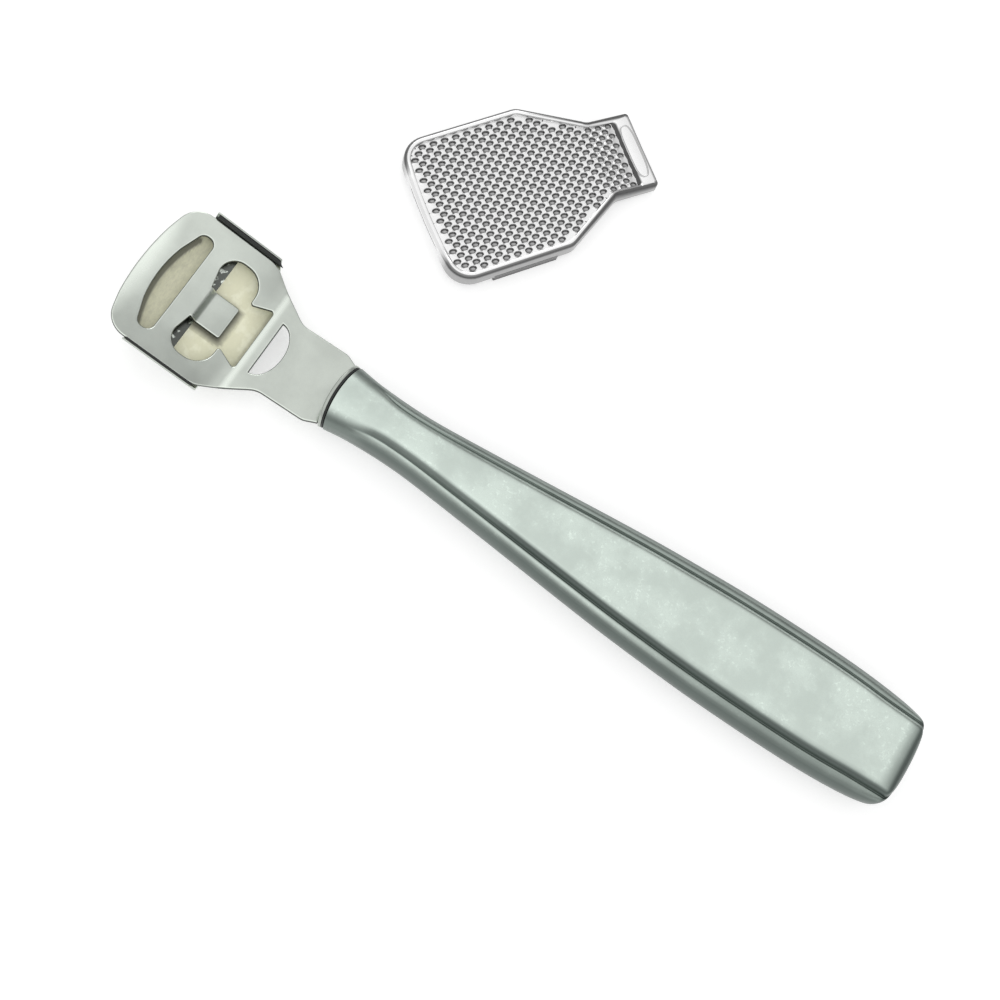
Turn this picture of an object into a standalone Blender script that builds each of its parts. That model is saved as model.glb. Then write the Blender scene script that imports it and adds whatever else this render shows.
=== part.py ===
"""Callus shaver: a hollow steel handle, an arched head plate over a hinged sole that holds the
wrapped blade, and the loose rasp cap that lies beside it.

Metres, +Z up, the head points towards -X. The origin is on the flat underside of the handle.
"""

import math

import bmesh
import bpy
from mathutils import Matrix, Vector

# Handle
HANDLE_LENGTH = 0.1131
HANDLE_HALF_WIDTH = 0.01028
HANDLE_HALF_THICKNESS = 0.0045
HANDLE_WALL = 0.0008
SEAM_GAP = 0.00004
SEAM_LAND = 0.0004
REST_FROM_COLLAR = 0.0725
PANEL_STEP = 0.0010
PANEL_FLANK = 0.0010
GROOVE_INSET = 0.00245
GROOVE_DRAW = 0.0011
GROOVE_DEPTH = 0.0004
GROOVE_START = 0.0042
GROOVE_FADE = 0.0050
GROOVE_END_FADE = 0.0012
GROOVE_END_ROOM = 0.0011
GROOVE_END_SLOPE = 0.035
STEP_FADE = 0.0450
WIDEST_SHARE = 0.80
SIDE_ROLL_SHARE = 0.82
TAIL_EDGE = 0.0024
SECTION_POWER = 2.6
# The rolled side of the section: share of the roll's width inwards, share of the lip's height
SIDE_ROLL_SHARES = [(0.08, 0.40), (0.30, 0.71), (0.62, 0.92), (1.0, 1.0)]
# The panel's edge: share of the panel's step inwards, share of that step below the panel
PANEL_EDGE_SHARES = [(0.0, 0.15), (0.35, 0.0)]
# Half width along the handle: share of the length, share of the widest half width
HANDLE_WIDTH_SHARES = [
    (0.0, 0.578), (0.035, 0.532), (0.075, 0.509), (0.110, 0.504), (0.147, 0.518), (0.221, 0.587),
    (0.294, 0.660), (0.368, 0.737), (0.441, 0.814), (0.515, 0.884), (0.588, 0.935), (0.662, 0.977),
    (0.735, 0.996), (0.809, 1.0), (0.870, 0.986), (0.920, 0.951), (0.955, 0.906), (0.978, 0.852),
    (0.990, 0.770), (0.997, 0.630), (1.0, 0.450),
]
HANDLE_STATIONS = 30

# Collar at the handle's mouth
COLLAR_THICKNESS = 0.0006
COLLAR_BEVEL = 0.0002
COLLAR_BEVEL_REACH = 0.0010
SEAL_THICKNESS = 0.0003
SEAL_INSET = 0.00025
STACK_GAP = 0.00003
MOUTH_GAP = 0.00013
MOUTH_BOW = 0.0008
MOUTH_BOW_REACH = 0.0060

# Plug that grips the tang
PLUG_LENGTH = 0.0180
PLUG_CLEARANCE = 0.00035

# Head plate, measured from its crease
PLATE_THICKNESS = 0.0009
CREASE_TO_COLLAR = 0.0163
HEAD_PITCH = math.radians(12.0)
HEAD_LENGTH = 0.0230
HEAD_HALF_WIDTH = 0.0126
TIP_BULGE = 0.0020
TIP_SHARES = [0.0, 0.2, 0.4, 0.58]
TIP_CORNER = 0.0042
SHOULDER_START = 0.0046
SHOULDER_RADIUS = 0.0050
TAPER_END = 0.0046
TAPER_RADIUS = 0.0040
NECK_HALF_WIDTH = 0.0069
NECK_END_RADIUS = 0.0030
NECK_END_HALF_WIDTH = 0.0060
NECK_END_TAPER = 0.0022
TANG_HALF_WIDTH = 0.0036
TANG_LENGTH = 0.0150
TANG_CORNER = 0.0010
ARCH_LIFT = 0.0013
ARCH_FADE_START = 0.0040
ARCH_FADE_END = 0.0004
ARCH_CUT_SHARES = [-0.85, -0.65, -0.45, -0.25, 0.0, 0.25, 0.45, 0.65, 0.85]
ARCH_FADE_CUT_SHARES = [0.0, 0.35, 0.65, 1.0]

# Crescent slot near the tip
SLOT_FROM_TIP = 0.0036
SLOT_LENGTH = 0.0046
SLOT_HALF_WIDTH = 0.0094
SLOT_BULGE = 0.0021
SLOT_CORNER = 0.0013

# Butterfly window, its dovetail and the spring tongue inside it
WINDOW_FRONT = 0.0119
WINDOW_BACK = 0.0046
WINDOW_HALF_WIDTH = 0.0094
WINDOW_CORNER = 0.0036
WINDOW_FRONT_CORNER = 0.0029
DOVETAIL_HALF_NECK = 0.0044
DOVETAIL_HALF_BASE = 0.0061
DOVETAIL_BACK = 0.0005
DOVETAIL_CORNER = 0.0005
TONGUE_HALF_WIDTH = 0.0031
TONGUE_ROOT = 0.0112
TONGUE_TIP = 0.0054
TONGUE_CORNER = 0.0004
TONGUE_KNEE = 0.0099
TONGUE_CLEARANCE = 0.0001

# Thumb hole on the neck
THUMB_FRONT = 0.0018
THUMB_REACH = 0.0032
THUMB_HALF_WIDTH = 0.0051

# Stack under the plate
THROAT = 0.0014
PAPER = 0.00015
BLADE_THICKNESS = 0.0003
FIT = 0.00008
SOLE_THICKNESS = 0.0005
WRAPPER_FROM_TIP = 0.0033
WRAPPER_BACK = 0.0010
WRAPPER_SHOULDER = 0.0046
WRAPPER_BACK_SHARE = 0.80
WRAPPER_HALF_WIDTH = 0.0109
WRAPPER_END_ROOM = 0.0004
BLADE_HALF_WIDTH = 0.0104
BLADE_BACK = 0.0052
BLADE_CORNER = 0.0010
BLADE_BEVEL = 0.0007

# Sole plate and its hinge
SOLE_FROM_TIP = 0.0006
SOLE_HALF_WIDTH = 0.0119
SOLE_CORNER = 0.0040
SOLE_SHOULDER = 0.0052
SOLE_SHOULDER_RADIUS = 0.0025
SOLE_TAPER_END = 0.0016
SOLE_TAPER_RADIUS = 0.0010
MOUTH_FROM_TIP = 0.0034
MOUTH_LENGTH = 0.0026
MOUTH_HALF_WIDTH = 0.0090
MOUTH_CORNER = 0.0012
BARREL_FROM_CREASE = 0.0006
BARREL_DROP = 0.0022
BARREL_RADIUS = 0.0010
BARREL_HALF_LENGTH = 0.0052
PIN_RADIUS = 0.0005
PIN_RUNNING_GAP = 0.00005
EAR_GAP = 0.0004
EAR_THICKNESS = 0.0008
EAR_MARGIN = 0.00005
BRACKET_BASE = 0.0003
PIN_OVERHANG = 0.0005

# Side wings of the sole and the black pads inside them
WING_FROM_TIP = 0.0055
WING_BACK = 0.0034
WING_FRONT_SLOPE = 0.0001
WING_BACK_SLOPE = 0.0013
WING_THICKNESS = 0.0003
WING_FOOT_INNER = 0.0108
WING_FOOT_OUTER = 0.0121
WING_TOP_OUT = 0.01316
WING_TOP_LEVEL = 0.00298
WING_ROOT_SINK = 0.00006
PAD_CLEARANCE = 0.00006
PAD_GAP = 0.00006
PAD_BOTTOM_SHARE = 0.67
PAD_TOP_SHARE = 0.965
PAD_END_MARGIN = 0.0004

# Rasp cap lying beside the tool, in its own frame from its middle
RASP_PLACE = (0.0063, 0.0536)
RASP_TURN = math.radians(54.5)
RASP_HALF_LENGTH = 0.0217
RASP_HALF_WIDTH = 0.0139
RASP_NECK_HALF_WIDTH = 0.0075
RASP_TAPER_START = 0.0016
RASP_TAPER_END = 0.0130
RASP_BEND = 0.0120
RASP_TOP_DROP = 0.0026
RASP_SKIRT_DROP = 0.0014
RASP_END_BULGE = 0.0008
RASP_CORNER = 0.0046
RASP_TAPER_RADIUS = 0.0030
RASP_NECK_CORNER = 0.0006
RASP_HEIGHT = 0.0044
RASP_SKIRT = 0.0029
RASP_FLARE = 0.03
RASP_WALL = 0.0006
RASP_SHEET = 0.0005
RASP_RIM = 0.0011
RASP_RECESS = 0.0007
RASP_END_NOTCH = 0.0068
RASP_END_WALL = 0.0014
RASP_GRIP_LENGTH = 0.0034
TAB_LENGTH = 0.0128
TAB_CENTRE = -0.0067
TAB_LAP = 0.0004
TAB_LIP = 0.0009
TOOTH_PITCH = 0.00214
TOOTH_ROW = 0.0010
TOOTH_HEIGHT = 0.0006
TOOTH_SEAT = 0.0001
TOOTH_RIM_ROOM = 0.0003

# Shared
OVERRUN = 0.0010
WELD = 0.000001
ARC_STEPS = 5
ROUND_SEGMENTS = 20

PLATE_LEVEL = HANDLE_HALF_THICKNESS + SEAM_GAP / 2
CREASE_X = -REST_FROM_COLLAR - CREASE_TO_COLLAR
SLOT_FRONT = HEAD_LENGTH - SLOT_FROM_TIP
WRAPPER_FRONT = HEAD_LENGTH - WRAPPER_FROM_TIP
SOLE_FRONT = HEAD_LENGTH - SOLE_FROM_TIP
MOUTH_FRONT = HEAD_LENGTH - MOUTH_FROM_TIP
WING_FRONT = HEAD_LENGTH - WING_FROM_TIP
PAPER_TOP = -PLATE_THICKNESS / 2 - THROAT
BLADE_TOP = PAPER_TOP - PAPER - FIT
SOLE_TOP = BLADE_TOP - BLADE_THICKNESS - FIT - PAPER - FIT
SOLE_BOTTOM = SOLE_TOP - SOLE_THICKNESS


def clear_scene():
    """Removes every object of the scene the script starts in."""
    for item in list(bpy.data.objects):
        bpy.data.objects.remove(item, do_unlink=True)


def collection(name):
    made = bpy.data.collections.new(name)
    bpy.context.scene.collection.children.link(made)
    return made


def material(name, colour, roughness, metallic):
    made = bpy.data.materials.new(name)
    made.use_nodes = True
    shader = made.node_tree.nodes["Principled BSDF"]
    shader.inputs["Base Color"].default_value = (*colour, 1.0)
    shader.inputs["Roughness"].default_value = roughness
    shader.inputs["Metallic"].default_value = metallic
    return made


def mesh_object(name, bm, finish, home):
    """Turns a bmesh into a named object with its material, shaded smooth but for its edges."""
    bmesh.ops.recalc_face_normals(bm, faces=bm.faces)
    if bm.calc_volume(signed=True) < 0:
        bmesh.ops.reverse_faces(bm, faces=bm.faces)
    mesh = bpy.data.meshes.new(name)
    bm.to_mesh(mesh)
    bm.free()
    mesh.shade_smooth()
    mesh.set_sharp_from_angle(angle=math.radians(35.0))
    made = bpy.data.objects.new(name, mesh)
    if finish is not None:
        made.data.materials.append(finish)
    home.objects.link(made)
    return made


def round_corners(points):
    """Gives the outline through (x, y, radius) points, with an arc at each rounded corner."""
    outline = []
    for i, (x, y, radius) in enumerate(points):
        here = Vector((x, y))
        if radius == 0 or i in (0, len(points) - 1):
            outline.append(here)
            continue
        back = (Vector(points[i - 1][:2]) - here).normalized()
        ahead = (Vector(points[i + 1][:2]) - here).normalized()
        half = back.angle(ahead) / 2
        middle = here + (back + ahead).normalized() * (radius / math.sin(half))
        start = here + back * (radius / math.tan(half)) - middle
        end = here + ahead * (radius / math.tan(half)) - middle
        sweep = start.angle_signed(end)
        for k in range(ARC_STEPS + 1):
            turn = Matrix.Rotation(-sweep * k / ARC_STEPS, 2)
            outline.append(middle + turn @ start)
    return outline


def both_sides(half):
    """Closes an outline whose half runs from the axis out and back to it."""
    mirrored = [Vector((p.x, -p.y)) for p in reversed(half) if abs(p.y) > WELD]
    return half + mirrored


def flat_sheet(outlines, thickness):
    """Makes a bmesh of a flat outline with its holes, centred on z = 0, from a 2D curve."""
    curve = bpy.data.curves.new("outline", "CURVE")
    curve.dimensions = "2D"
    curve.fill_mode = "BOTH"
    curve.extrude = thickness / 2
    for outline in outlines:
        spline = curve.splines.new("POLY")
        spline.points.add(len(outline) - 1)
        for point, place in zip(spline.points, outline):
            point.co = (place.x, place.y, 0.0, 1.0)
        spline.use_cyclic_u = True
    guide = bpy.data.objects.new("outline", curve)
    bpy.context.scene.collection.objects.link(guide)
    graph = bpy.context.evaluated_depsgraph_get()
    mesh = bpy.data.meshes.new_from_object(guide.evaluated_get(graph))
    bm = bmesh.new()
    bm.from_mesh(mesh)
    bmesh.ops.remove_doubles(bm, verts=bm.verts, dist=WELD)
    bpy.data.objects.remove(guide, do_unlink=True)
    bpy.data.curves.remove(curve)
    bpy.data.meshes.remove(mesh)
    return bm


def box(low, high):
    bm = bmesh.new()
    size = [b - a for a, b in zip(low, high)]
    centre = [(a + b) / 2 for a, b in zip(low, high)]
    place = Matrix.Translation(centre) @ Matrix.Diagonal((*size, 1.0))
    bmesh.ops.create_cube(bm, size=1.0, matrix=place)
    return bm


def rod_along_y(radius, half_length, centre):
    bm = bmesh.new()
    lay = Matrix.Translation(centre) @ Matrix.Rotation(math.pi / 2, 4, "X")
    bmesh.ops.create_cone(
        bm, cap_ends=True, segments=ROUND_SEGMENTS, radius1=radius, radius2=radius,
        depth=2 * half_length, matrix=lay,
    )
    return bm


def cut_across(bm, places, normal):
    """Cuts the mesh at planes across one axis, so that it can bend there."""
    for place in places:
        whole = list(bm.verts) + list(bm.edges) + list(bm.faces)
        spot = Vector(normal) * place
        bmesh.ops.bisect_plane(bm, geom=whole, dist=WELD, plane_co=spot, plane_no=normal)


def arch(bm):
    """Bends a flat sheet of the head into the arch that dies out at the crease."""
    cut_across(bm, [share * HEAD_HALF_WIDTH for share in ARCH_CUT_SHARES], (0, 1, 0))
    fade = ARCH_FADE_START - ARCH_FADE_END
    cuts = [-ARCH_FADE_START + share * fade for share in ARCH_FADE_CUT_SHARES]
    cut_across(bm, cuts, (1, 0, 0))
    for vert in bm.verts:
        vert.co.z += arch_lift(vert.co.x, vert.co.y)


def arch_lift(x, y):
    """How far the arched sheet lies above its middle line, at x from the crease."""
    along = (-ARCH_FADE_END - x) / (ARCH_FADE_START - ARCH_FADE_END)
    along = min(max(along, 0.0), 1.0)
    strength = along * along * (3 - 2 * along)
    return ARCH_LIFT * strength * (y / HEAD_HALF_WIDTH) ** 2


def head_matrix():
    """Places the head's frame: at the crease, with its tip pitched up."""
    spot = Matrix.Translation((CREASE_X, 0.0, PLATE_LEVEL))
    return spot @ Matrix.Rotation(HEAD_PITCH, 4, "Y")


def set_on_hinge(made):
    """Gives a piece of the sole its origin on the hinge axis, with its mesh in the head's frame."""
    pivot = Vector((BARREL_FROM_CREASE, 0.0, -BARREL_DROP))
    made.data.transform(Matrix.Translation(-pivot))
    made.matrix_world = head_matrix() @ Matrix.Translation(pivot)


def boolean(made, cutter, operation):
    step = made.modifiers.new(operation.lower(), "BOOLEAN")
    step.object = cutter
    step.operation = operation
    step.solver = "EXACT"


def tool(name, bm, cutters):
    """A cutter or a piece to be joined: kept out of the model."""
    made = mesh_object(name, bm, None, cutters)
    made.hide_render = True
    made.display_type = "WIRE"
    return made


# Handle

def share_curve(table, share):
    """Reads a smooth value between the hand-chosen shares of a table."""
    for i in range(len(table) - 1):
        (a, low), (b, high) = table[i], table[i + 1]
        if share <= b:
            before = table[i - 1] if i > 0 else (a - (b - a), low)
            after = table[i + 2] if i + 2 < len(table) else (b + (b - a), high)
            slope_low = (high - before[1]) / (b - before[0])
            slope_high = (after[1] - low) / (after[0] - a)
            t = (share - a) / (b - a)
            span = b - a
            return (
                (2 * t**3 - 3 * t**2 + 1) * low + (t**3 - 2 * t**2 + t) * span * slope_low
                + (3 * t**2 - 2 * t**3) * high + (t**3 - t**2) * span * slope_high
            )
    return table[-1][1]


def smooth_step(value):
    value = min(max(value, 0.0), 1.0)
    return value * value * (3 - 2 * value)


def handle_half_width(x):
    return HANDLE_HALF_WIDTH * share_curve(HANDLE_WIDTH_SHARES, x / HANDLE_LENGTH)


def handle_half_thickness(x):
    past = x - (HANDLE_LENGTH - TAIL_EDGE)
    if past <= 0:
        return HANDLE_HALF_THICKNESS
    return HANDLE_HALF_THICKNESS - TAIL_EDGE + math.sqrt(max(TAIL_EDGE**2 - past**2, 0.0))


def groove_cut(x):
    """How deep the groove is cut at x, as a share of its full depth."""
    rise = smooth_step((x - GROOVE_START) / GROOVE_FADE)
    fall = smooth_step((HANDLE_LENGTH - x) / GROOVE_END_FADE)
    return rise * fall


def panel_rise(x):
    """How far the section has gone from the mouth's oval to the raised panel."""
    return groove_cut(x) * smooth_step((x - GROOVE_START) / STEP_FADE) ** 0.5


def groove_place(x):
    """The groove's distance from the middle line: it follows the side, then runs straight on."""
    wide = handle_half_width(x)
    narrowed = GROOVE_DRAW * (1 - wide / HANDLE_HALF_WIDTH)
    beside = wide - GROOVE_INSET + narrowed
    past = x - WIDEST_SHARE * HANDLE_LENGTH
    if past <= 0:
        return beside
    straight = HANDLE_HALF_WIDTH - GROOVE_INSET - GROOVE_END_SLOPE * past
    return max(wide - GROOVE_INSET, min(straight, wide - GROOVE_END_ROOM))


def oval_height(share, thick):
    """Height of the plain oval section at a share of its half width."""
    return thick * max(1 - share**SECTION_POWER, 0.0) ** (1 / SECTION_POWER)


def quarter_section(x):
    """One quarter of the handle's section, from its side to its middle line, as (y, z)."""
    wide = handle_half_width(x)
    thick = handle_half_thickness(x)
    lip = thick - PANEL_STEP
    groove = groove_place(x)
    panel = groove - PANEL_FLANK
    roll = SIDE_ROLL_SHARE * (wide - groove)
    formed = [(wide - a * roll, b * lip, 0.0) for a, b in SIDE_ROLL_SHARES]
    formed += [(groove, lip, GROOVE_DEPTH), ((groove + panel) / 2, (lip + thick) / 2, 0.0)]
    formed += [(panel - a * PANEL_STEP, thick - b * PANEL_STEP, 0.0) for a, b in PANEL_EDGE_SHARES]
    formed += [(panel / 2, thick, 0.0), (0.0, thick, 0.0)]
    mix, cut = panel_rise(x), groove_cut(x)
    section = [(wide, 0.0), (wide, SEAM_LAND)]
    for y, z, depth in formed:
        plain = oval_height(y / wide, thick)
        section.append((y, (1 - mix) * plain + mix * z - cut * depth))
    return section


def mouth_bow(x, y):
    """How far the bowed mouth lies behind its middle, fading out along the handle."""
    fade = max(1 - x / MOUTH_BOW_REACH, 0.0)
    return MOUTH_BOW * fade * (y / handle_half_width(0.0)) ** 2


def handle_stations():
    """Places of the loft's rings: even along the handle, closer where the tail rounds off."""
    tail = HANDLE_LENGTH - TAIL_EDGE
    even = [tail * k / HANDLE_STATIONS for k in range(HANDLE_STATIONS)]
    rounded = [tail + TAIL_EDGE * math.sin(math.pi / 2 * k / ARC_STEPS) for k in range(ARC_STEPS)]
    return even + rounded + [HANDLE_LENGTH - WELD]


def handle_shell(name, upward, finish, home):
    """One pressed half: an open loft through the half sections, closed at the tail."""
    bm = bmesh.new()
    rings = []
    for x in handle_stations():
        quarter = quarter_section(x)
        half = quarter + [(-y, z) for y, z in reversed(quarter[:-1])]
        ring = [
            bm.verts.new((x + mouth_bow(x, y), y, upward * (z + SEAM_GAP / 2))) for y, z in half
        ]
        rings.append(ring)
    for near, far in zip(rings, rings[1:]):
        for k in range(len(near) - 1):
            bm.faces.new((near[k], near[k + 1], far[k + 1], far[k]))
    bm.faces.new(rings[-1])
    made = mesh_object(name, bm, finish, home)
    # recalculated normals of an open loft may point either way, so the side is tested
    top = max(made.data.polygons, key=lambda face: upward * face.center.z)
    if top.normal.z * upward < 0:
        made.data.flip_normals()
    wall = made.modifiers.new("wall", "SOLIDIFY")
    wall.thickness = HANDLE_WALL
    wall.offset = -1.0
    made.location = (-REST_FROM_COLLAR, 0.0, PLATE_LEVEL)
    return made


def oval(x, inset):
    """The mouth's oval outline, drawn in by an inset."""
    wide = handle_half_width(x) - inset
    thick = HANDLE_HALF_THICKNESS - inset
    outline = []
    count = 2 * ROUND_SEGMENTS
    for k in range(count):
        angle = 2 * math.pi * k / count
        c, s = math.cos(angle), math.sin(angle)
        side = math.copysign(wide * abs(c) ** (2 / SECTION_POWER), c)
        rise = math.copysign(thick * abs(s) ** (2 / SECTION_POWER), s)
        outline.append(Vector((side, rise)))
    return outline


def stand_across(bm):
    """Turns a sheet drawn as (y, z) so that its thickness lies along X."""
    turn = Matrix(((0, 0, 1, 0), (1, 0, 0, 0), (0, 1, 0, 0), (0, 0, 0, 1)))
    bm.transform(turn)


def tang_slot(extra):
    """The rectangular slot that the tang passes through, as (y, z)."""
    side = TANG_HALF_WIDTH + extra
    rise = PLATE_THICKNESS / 2 + extra
    return [Vector(p) for p in ((side, rise), (-side, rise), (-side, -rise), (side, -rise))]


def bow(bm):
    """Bends a piece of the mouth's stack to the bow of the mouth."""
    cut_across(bm, [share * handle_half_width(0.0) for share in ARCH_CUT_SHARES], (0, 1, 0))
    for vert in bm.verts:
        vert.co.x += mouth_bow(0.0, vert.co.y)


def collar(finishes, home):
    bm = flat_sheet([oval(0.0, 0.0), tang_slot(FIT)], COLLAR_THICKNESS)
    stand_across(bm)
    front = -COLLAR_THICKNESS / 2
    slot_side = TANG_HALF_WIDTH + COLLAR_BEVEL_REACH
    slot_rise = PLATE_THICKNESS / 2 + COLLAR_BEVEL_REACH
    for vert in bm.verts:
        outside = abs(vert.co.y) > slot_side or abs(vert.co.z) > slot_rise
        if outside and vert.co.x < 0:
            side = Vector((0.0, vert.co.y, vert.co.z))
            vert.co -= side.normalized() * COLLAR_BEVEL
            vert.co.x = front
    bow(bm)
    ring = mesh_object("collar_ring", bm, finishes["steel"], home)
    seal_back = -REST_FROM_COLLAR - MOUTH_GAP
    collar_back = seal_back - SEAL_THICKNESS - STACK_GAP
    ring.location = (collar_back - COLLAR_THICKNESS / 2, 0.0, PLATE_LEVEL)

    bm = flat_sheet([oval(0.0, SEAL_INSET), tang_slot(FIT)], SEAL_THICKNESS)
    stand_across(bm)
    bow(bm)
    seal = mesh_object("collar_seal", bm, finishes["black"], home)
    seal.location = (seal_back - SEAL_THICKNESS / 2, 0.0, PLATE_LEVEL)


def plug(finishes, home):
    """A block inside the mouth: lofted straight, as small as the narrowest section it fills."""
    ends = [handle_half_width(PLUG_LENGTH * k / ARC_STEPS) for k in range(ARC_STEPS + 1)]
    slack = handle_half_width(0.0) - min(ends)
    inset = HANDLE_WALL + PLUG_CLEARANCE + slack
    grooved = PANEL_STEP + GROOVE_DEPTH + HANDLE_WALL + PLUG_CLEARANCE
    outline = oval(0.0, inset)
    limit = HANDLE_HALF_THICKNESS - grooved
    outline = [Vector((p.x, min(max(p.y, -limit), limit))) for p in outline]
    bm = flat_sheet([outline, tang_slot(FIT)], PLUG_LENGTH)
    stand_across(bm)
    made = mesh_object("tang_plug", bm, finishes["resin"], home)
    front = -REST_FROM_COLLAR + MOUTH_BOW + STACK_GAP
    made.location = (front + PLUG_LENGTH / 2, 0.0, PLATE_LEVEL)


# Head plate

def bulged_edge(front, half_width, bulge, shares):
    """Points of a convex edge, from the axis outwards."""
    return [(-front + bulge * share**2, share * half_width, 0) for share in shares]


def plate_outline():
    collar_at = CREASE_TO_COLLAR - MOUTH_GAP - SEAL_THICKNESS - STACK_GAP - COLLAR_THICKNESS
    points = bulged_edge(HEAD_LENGTH, HEAD_HALF_WIDTH, TIP_BULGE, TIP_SHARES)
    points += [
        (-HEAD_LENGTH + TIP_BULGE, HEAD_HALF_WIDTH, TIP_CORNER),
        (-SHOULDER_START, HEAD_HALF_WIDTH, SHOULDER_RADIUS),
        (TAPER_END, NECK_HALF_WIDTH, TAPER_RADIUS),
        (collar_at - NECK_END_TAPER, NECK_HALF_WIDTH, NECK_END_RADIUS),
        (collar_at - STACK_GAP, NECK_END_HALF_WIDTH, 0),
        (collar_at - STACK_GAP, TANG_HALF_WIDTH, 0),
        (CREASE_TO_COLLAR + TANG_LENGTH, TANG_HALF_WIDTH, TANG_CORNER),
        (CREASE_TO_COLLAR + TANG_LENGTH, 0.0, 0),
    ]
    return both_sides(round_corners(points))


def slot_outline():
    points = bulged_edge(SLOT_FRONT, SLOT_HALF_WIDTH, SLOT_BULGE, TIP_SHARES)
    points += [
        (-SLOT_FRONT + SLOT_BULGE, SLOT_HALF_WIDTH, SLOT_CORNER),
        (-SLOT_FRONT + SLOT_LENGTH, SLOT_HALF_WIDTH, SLOT_CORNER),
        (-SLOT_FRONT + SLOT_LENGTH, 0.0, 0),
    ]
    return both_sides(round_corners(points))


def window_outline():
    points = [
        (-TONGUE_TIP, 0.0, 0),
        (-TONGUE_TIP, TONGUE_HALF_WIDTH, TONGUE_CORNER),
        (-TONGUE_ROOT, TONGUE_HALF_WIDTH, 0),
        (-WINDOW_FRONT, (TONGUE_HALF_WIDTH + WINDOW_HALF_WIDTH) / 2, 0),
        (-WINDOW_FRONT, WINDOW_HALF_WIDTH, WINDOW_FRONT_CORNER),
        (-WINDOW_BACK, WINDOW_HALF_WIDTH, WINDOW_CORNER),
        (-WINDOW_BACK, DOVETAIL_HALF_NECK, DOVETAIL_CORNER),
        (-DOVETAIL_BACK, DOVETAIL_HALF_BASE, DOVETAIL_CORNER),
        (-DOVETAIL_BACK, 0.0, 0),
    ]
    return both_sides(round_corners(points))


def thumb_outline():
    outline = [Vector((THUMB_FRONT, 0.0))]
    count = 2 * ARC_STEPS
    for k in range(count):
        angle = math.pi / 2 * (1 - k / count)
        reach = THUMB_FRONT + THUMB_REACH * math.sin(math.pi / 2 - angle)
        outline.append(Vector((reach, THUMB_HALF_WIDTH * math.sin(angle))))
    outline.append(Vector((THUMB_FRONT + THUMB_REACH, 0.0)))
    return both_sides(outline)


def head_plate(finishes, home):
    outlines = [plate_outline(), slot_outline(), window_outline(), thumb_outline()]
    bm = flat_sheet(outlines, PLATE_THICKNESS)
    cut_across(bm, [-TONGUE_ROOT, -TONGUE_KNEE], (1, 0, 0))
    arch(bm)
    drop = THROAT - TONGUE_CLEARANCE
    for vert in bm.verts:
        inside = abs(vert.co.y) < TONGUE_HALF_WIDTH + WELD
        if inside and -TONGUE_ROOT < vert.co.x < -TONGUE_TIP + WELD:
            part = (vert.co.x + TONGUE_ROOT) / (TONGUE_ROOT - TONGUE_KNEE)
            vert.co.z -= drop * min(part, 1.0)
    cut_across(bm, [0.0], (1, 0, 0))
    pitch = Matrix.Rotation(HEAD_PITCH, 3, "Y")
    for vert in bm.verts:
        if vert.co.x < -WELD:
            vert.co = pitch @ vert.co
    made = mesh_object("head_plate", bm, finishes["plate"], home)
    made.location = (CREASE_X, 0.0, PLATE_LEVEL)


# Hinge

def hinge(finishes, home, cutters):
    top = -PLATE_THICKNESS / 2 - EAR_MARGIN
    ear_inner = BARREL_HALF_LENGTH + EAR_GAP
    ear_outer = ear_inner + EAR_THICKNESS
    low_x = BARREL_FROM_CREASE - BARREL_RADIUS
    high_x = BARREL_FROM_CREASE + BARREL_RADIUS
    bottom = -BARREL_DROP - BARREL_RADIUS
    block = box((low_x, -ear_outer, bottom), (high_x, ear_outer, top))
    bracket = mesh_object("hinge_bracket", block, finishes["steel"], home)
    inside = box(
        (low_x - OVERRUN, -ear_inner, bottom - OVERRUN),
        (high_x + OVERRUN, ear_inner, top - BRACKET_BASE),
    )
    boolean(bracket, tool("bracket_channel", inside, cutters), "DIFFERENCE")
    centre = (BARREL_FROM_CREASE, 0.0, -BARREL_DROP)
    bore = rod_along_y(PIN_RADIUS + PIN_RUNNING_GAP, ear_outer + OVERRUN, centre)
    bore_cutter = tool("pin_bore", bore, cutters)
    boolean(bracket, bore_cutter, "DIFFERENCE")
    pin = rod_along_y(PIN_RADIUS, ear_outer + PIN_OVERHANG, centre)
    made = mesh_object("hinge_pin", pin, finishes["steel"], home)
    for item in (bracket, made, *[c for c in cutters.objects if c.name == "bracket_channel"]):
        item.matrix_world = head_matrix()
    bore_cutter.matrix_world = head_matrix()
    return bore_cutter


# Sole with its wings, pads, blade and wrapper

def sole_outline():
    tip = bulged_edge(SOLE_FRONT, SOLE_HALF_WIDTH, TIP_BULGE, TIP_SHARES)
    points = tip + [
        (-SOLE_FRONT + TIP_BULGE, SOLE_HALF_WIDTH, SOLE_CORNER),
        (-SOLE_SHOULDER, SOLE_HALF_WIDTH, SOLE_SHOULDER_RADIUS),
        (-SOLE_TAPER_END, BARREL_HALF_LENGTH, SOLE_TAPER_RADIUS),
        (BARREL_FROM_CREASE, BARREL_HALF_LENGTH, 0),
        (BARREL_FROM_CREASE, 0.0, 0),
    ]
    return both_sides(round_corners(points))


def mouth_outline():
    points = [
        (-MOUTH_FRONT, 0.0, 0),
        (-MOUTH_FRONT, MOUTH_HALF_WIDTH, MOUTH_CORNER),
        (-MOUTH_FRONT + MOUTH_LENGTH, MOUTH_HALF_WIDTH, MOUTH_CORNER),
        (-MOUTH_FRONT + MOUTH_LENGTH, 0.0, 0),
    ]
    return both_sides(round_corners(points))


def wing_point(share, out):
    """A place on the wing's inner face: share of its rise, and a step outwards from it."""
    low = Vector((WING_FOOT_OUTER, SOLE_TOP + arch_lift(-WING_FRONT, WING_FOOT_OUTER)))
    high = Vector((WING_TOP_OUT, WING_TOP_LEVEL))
    rise = high - low
    outward = Vector((rise.y, -rise.x)).normalized()
    return low + rise * share + outward * out


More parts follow.
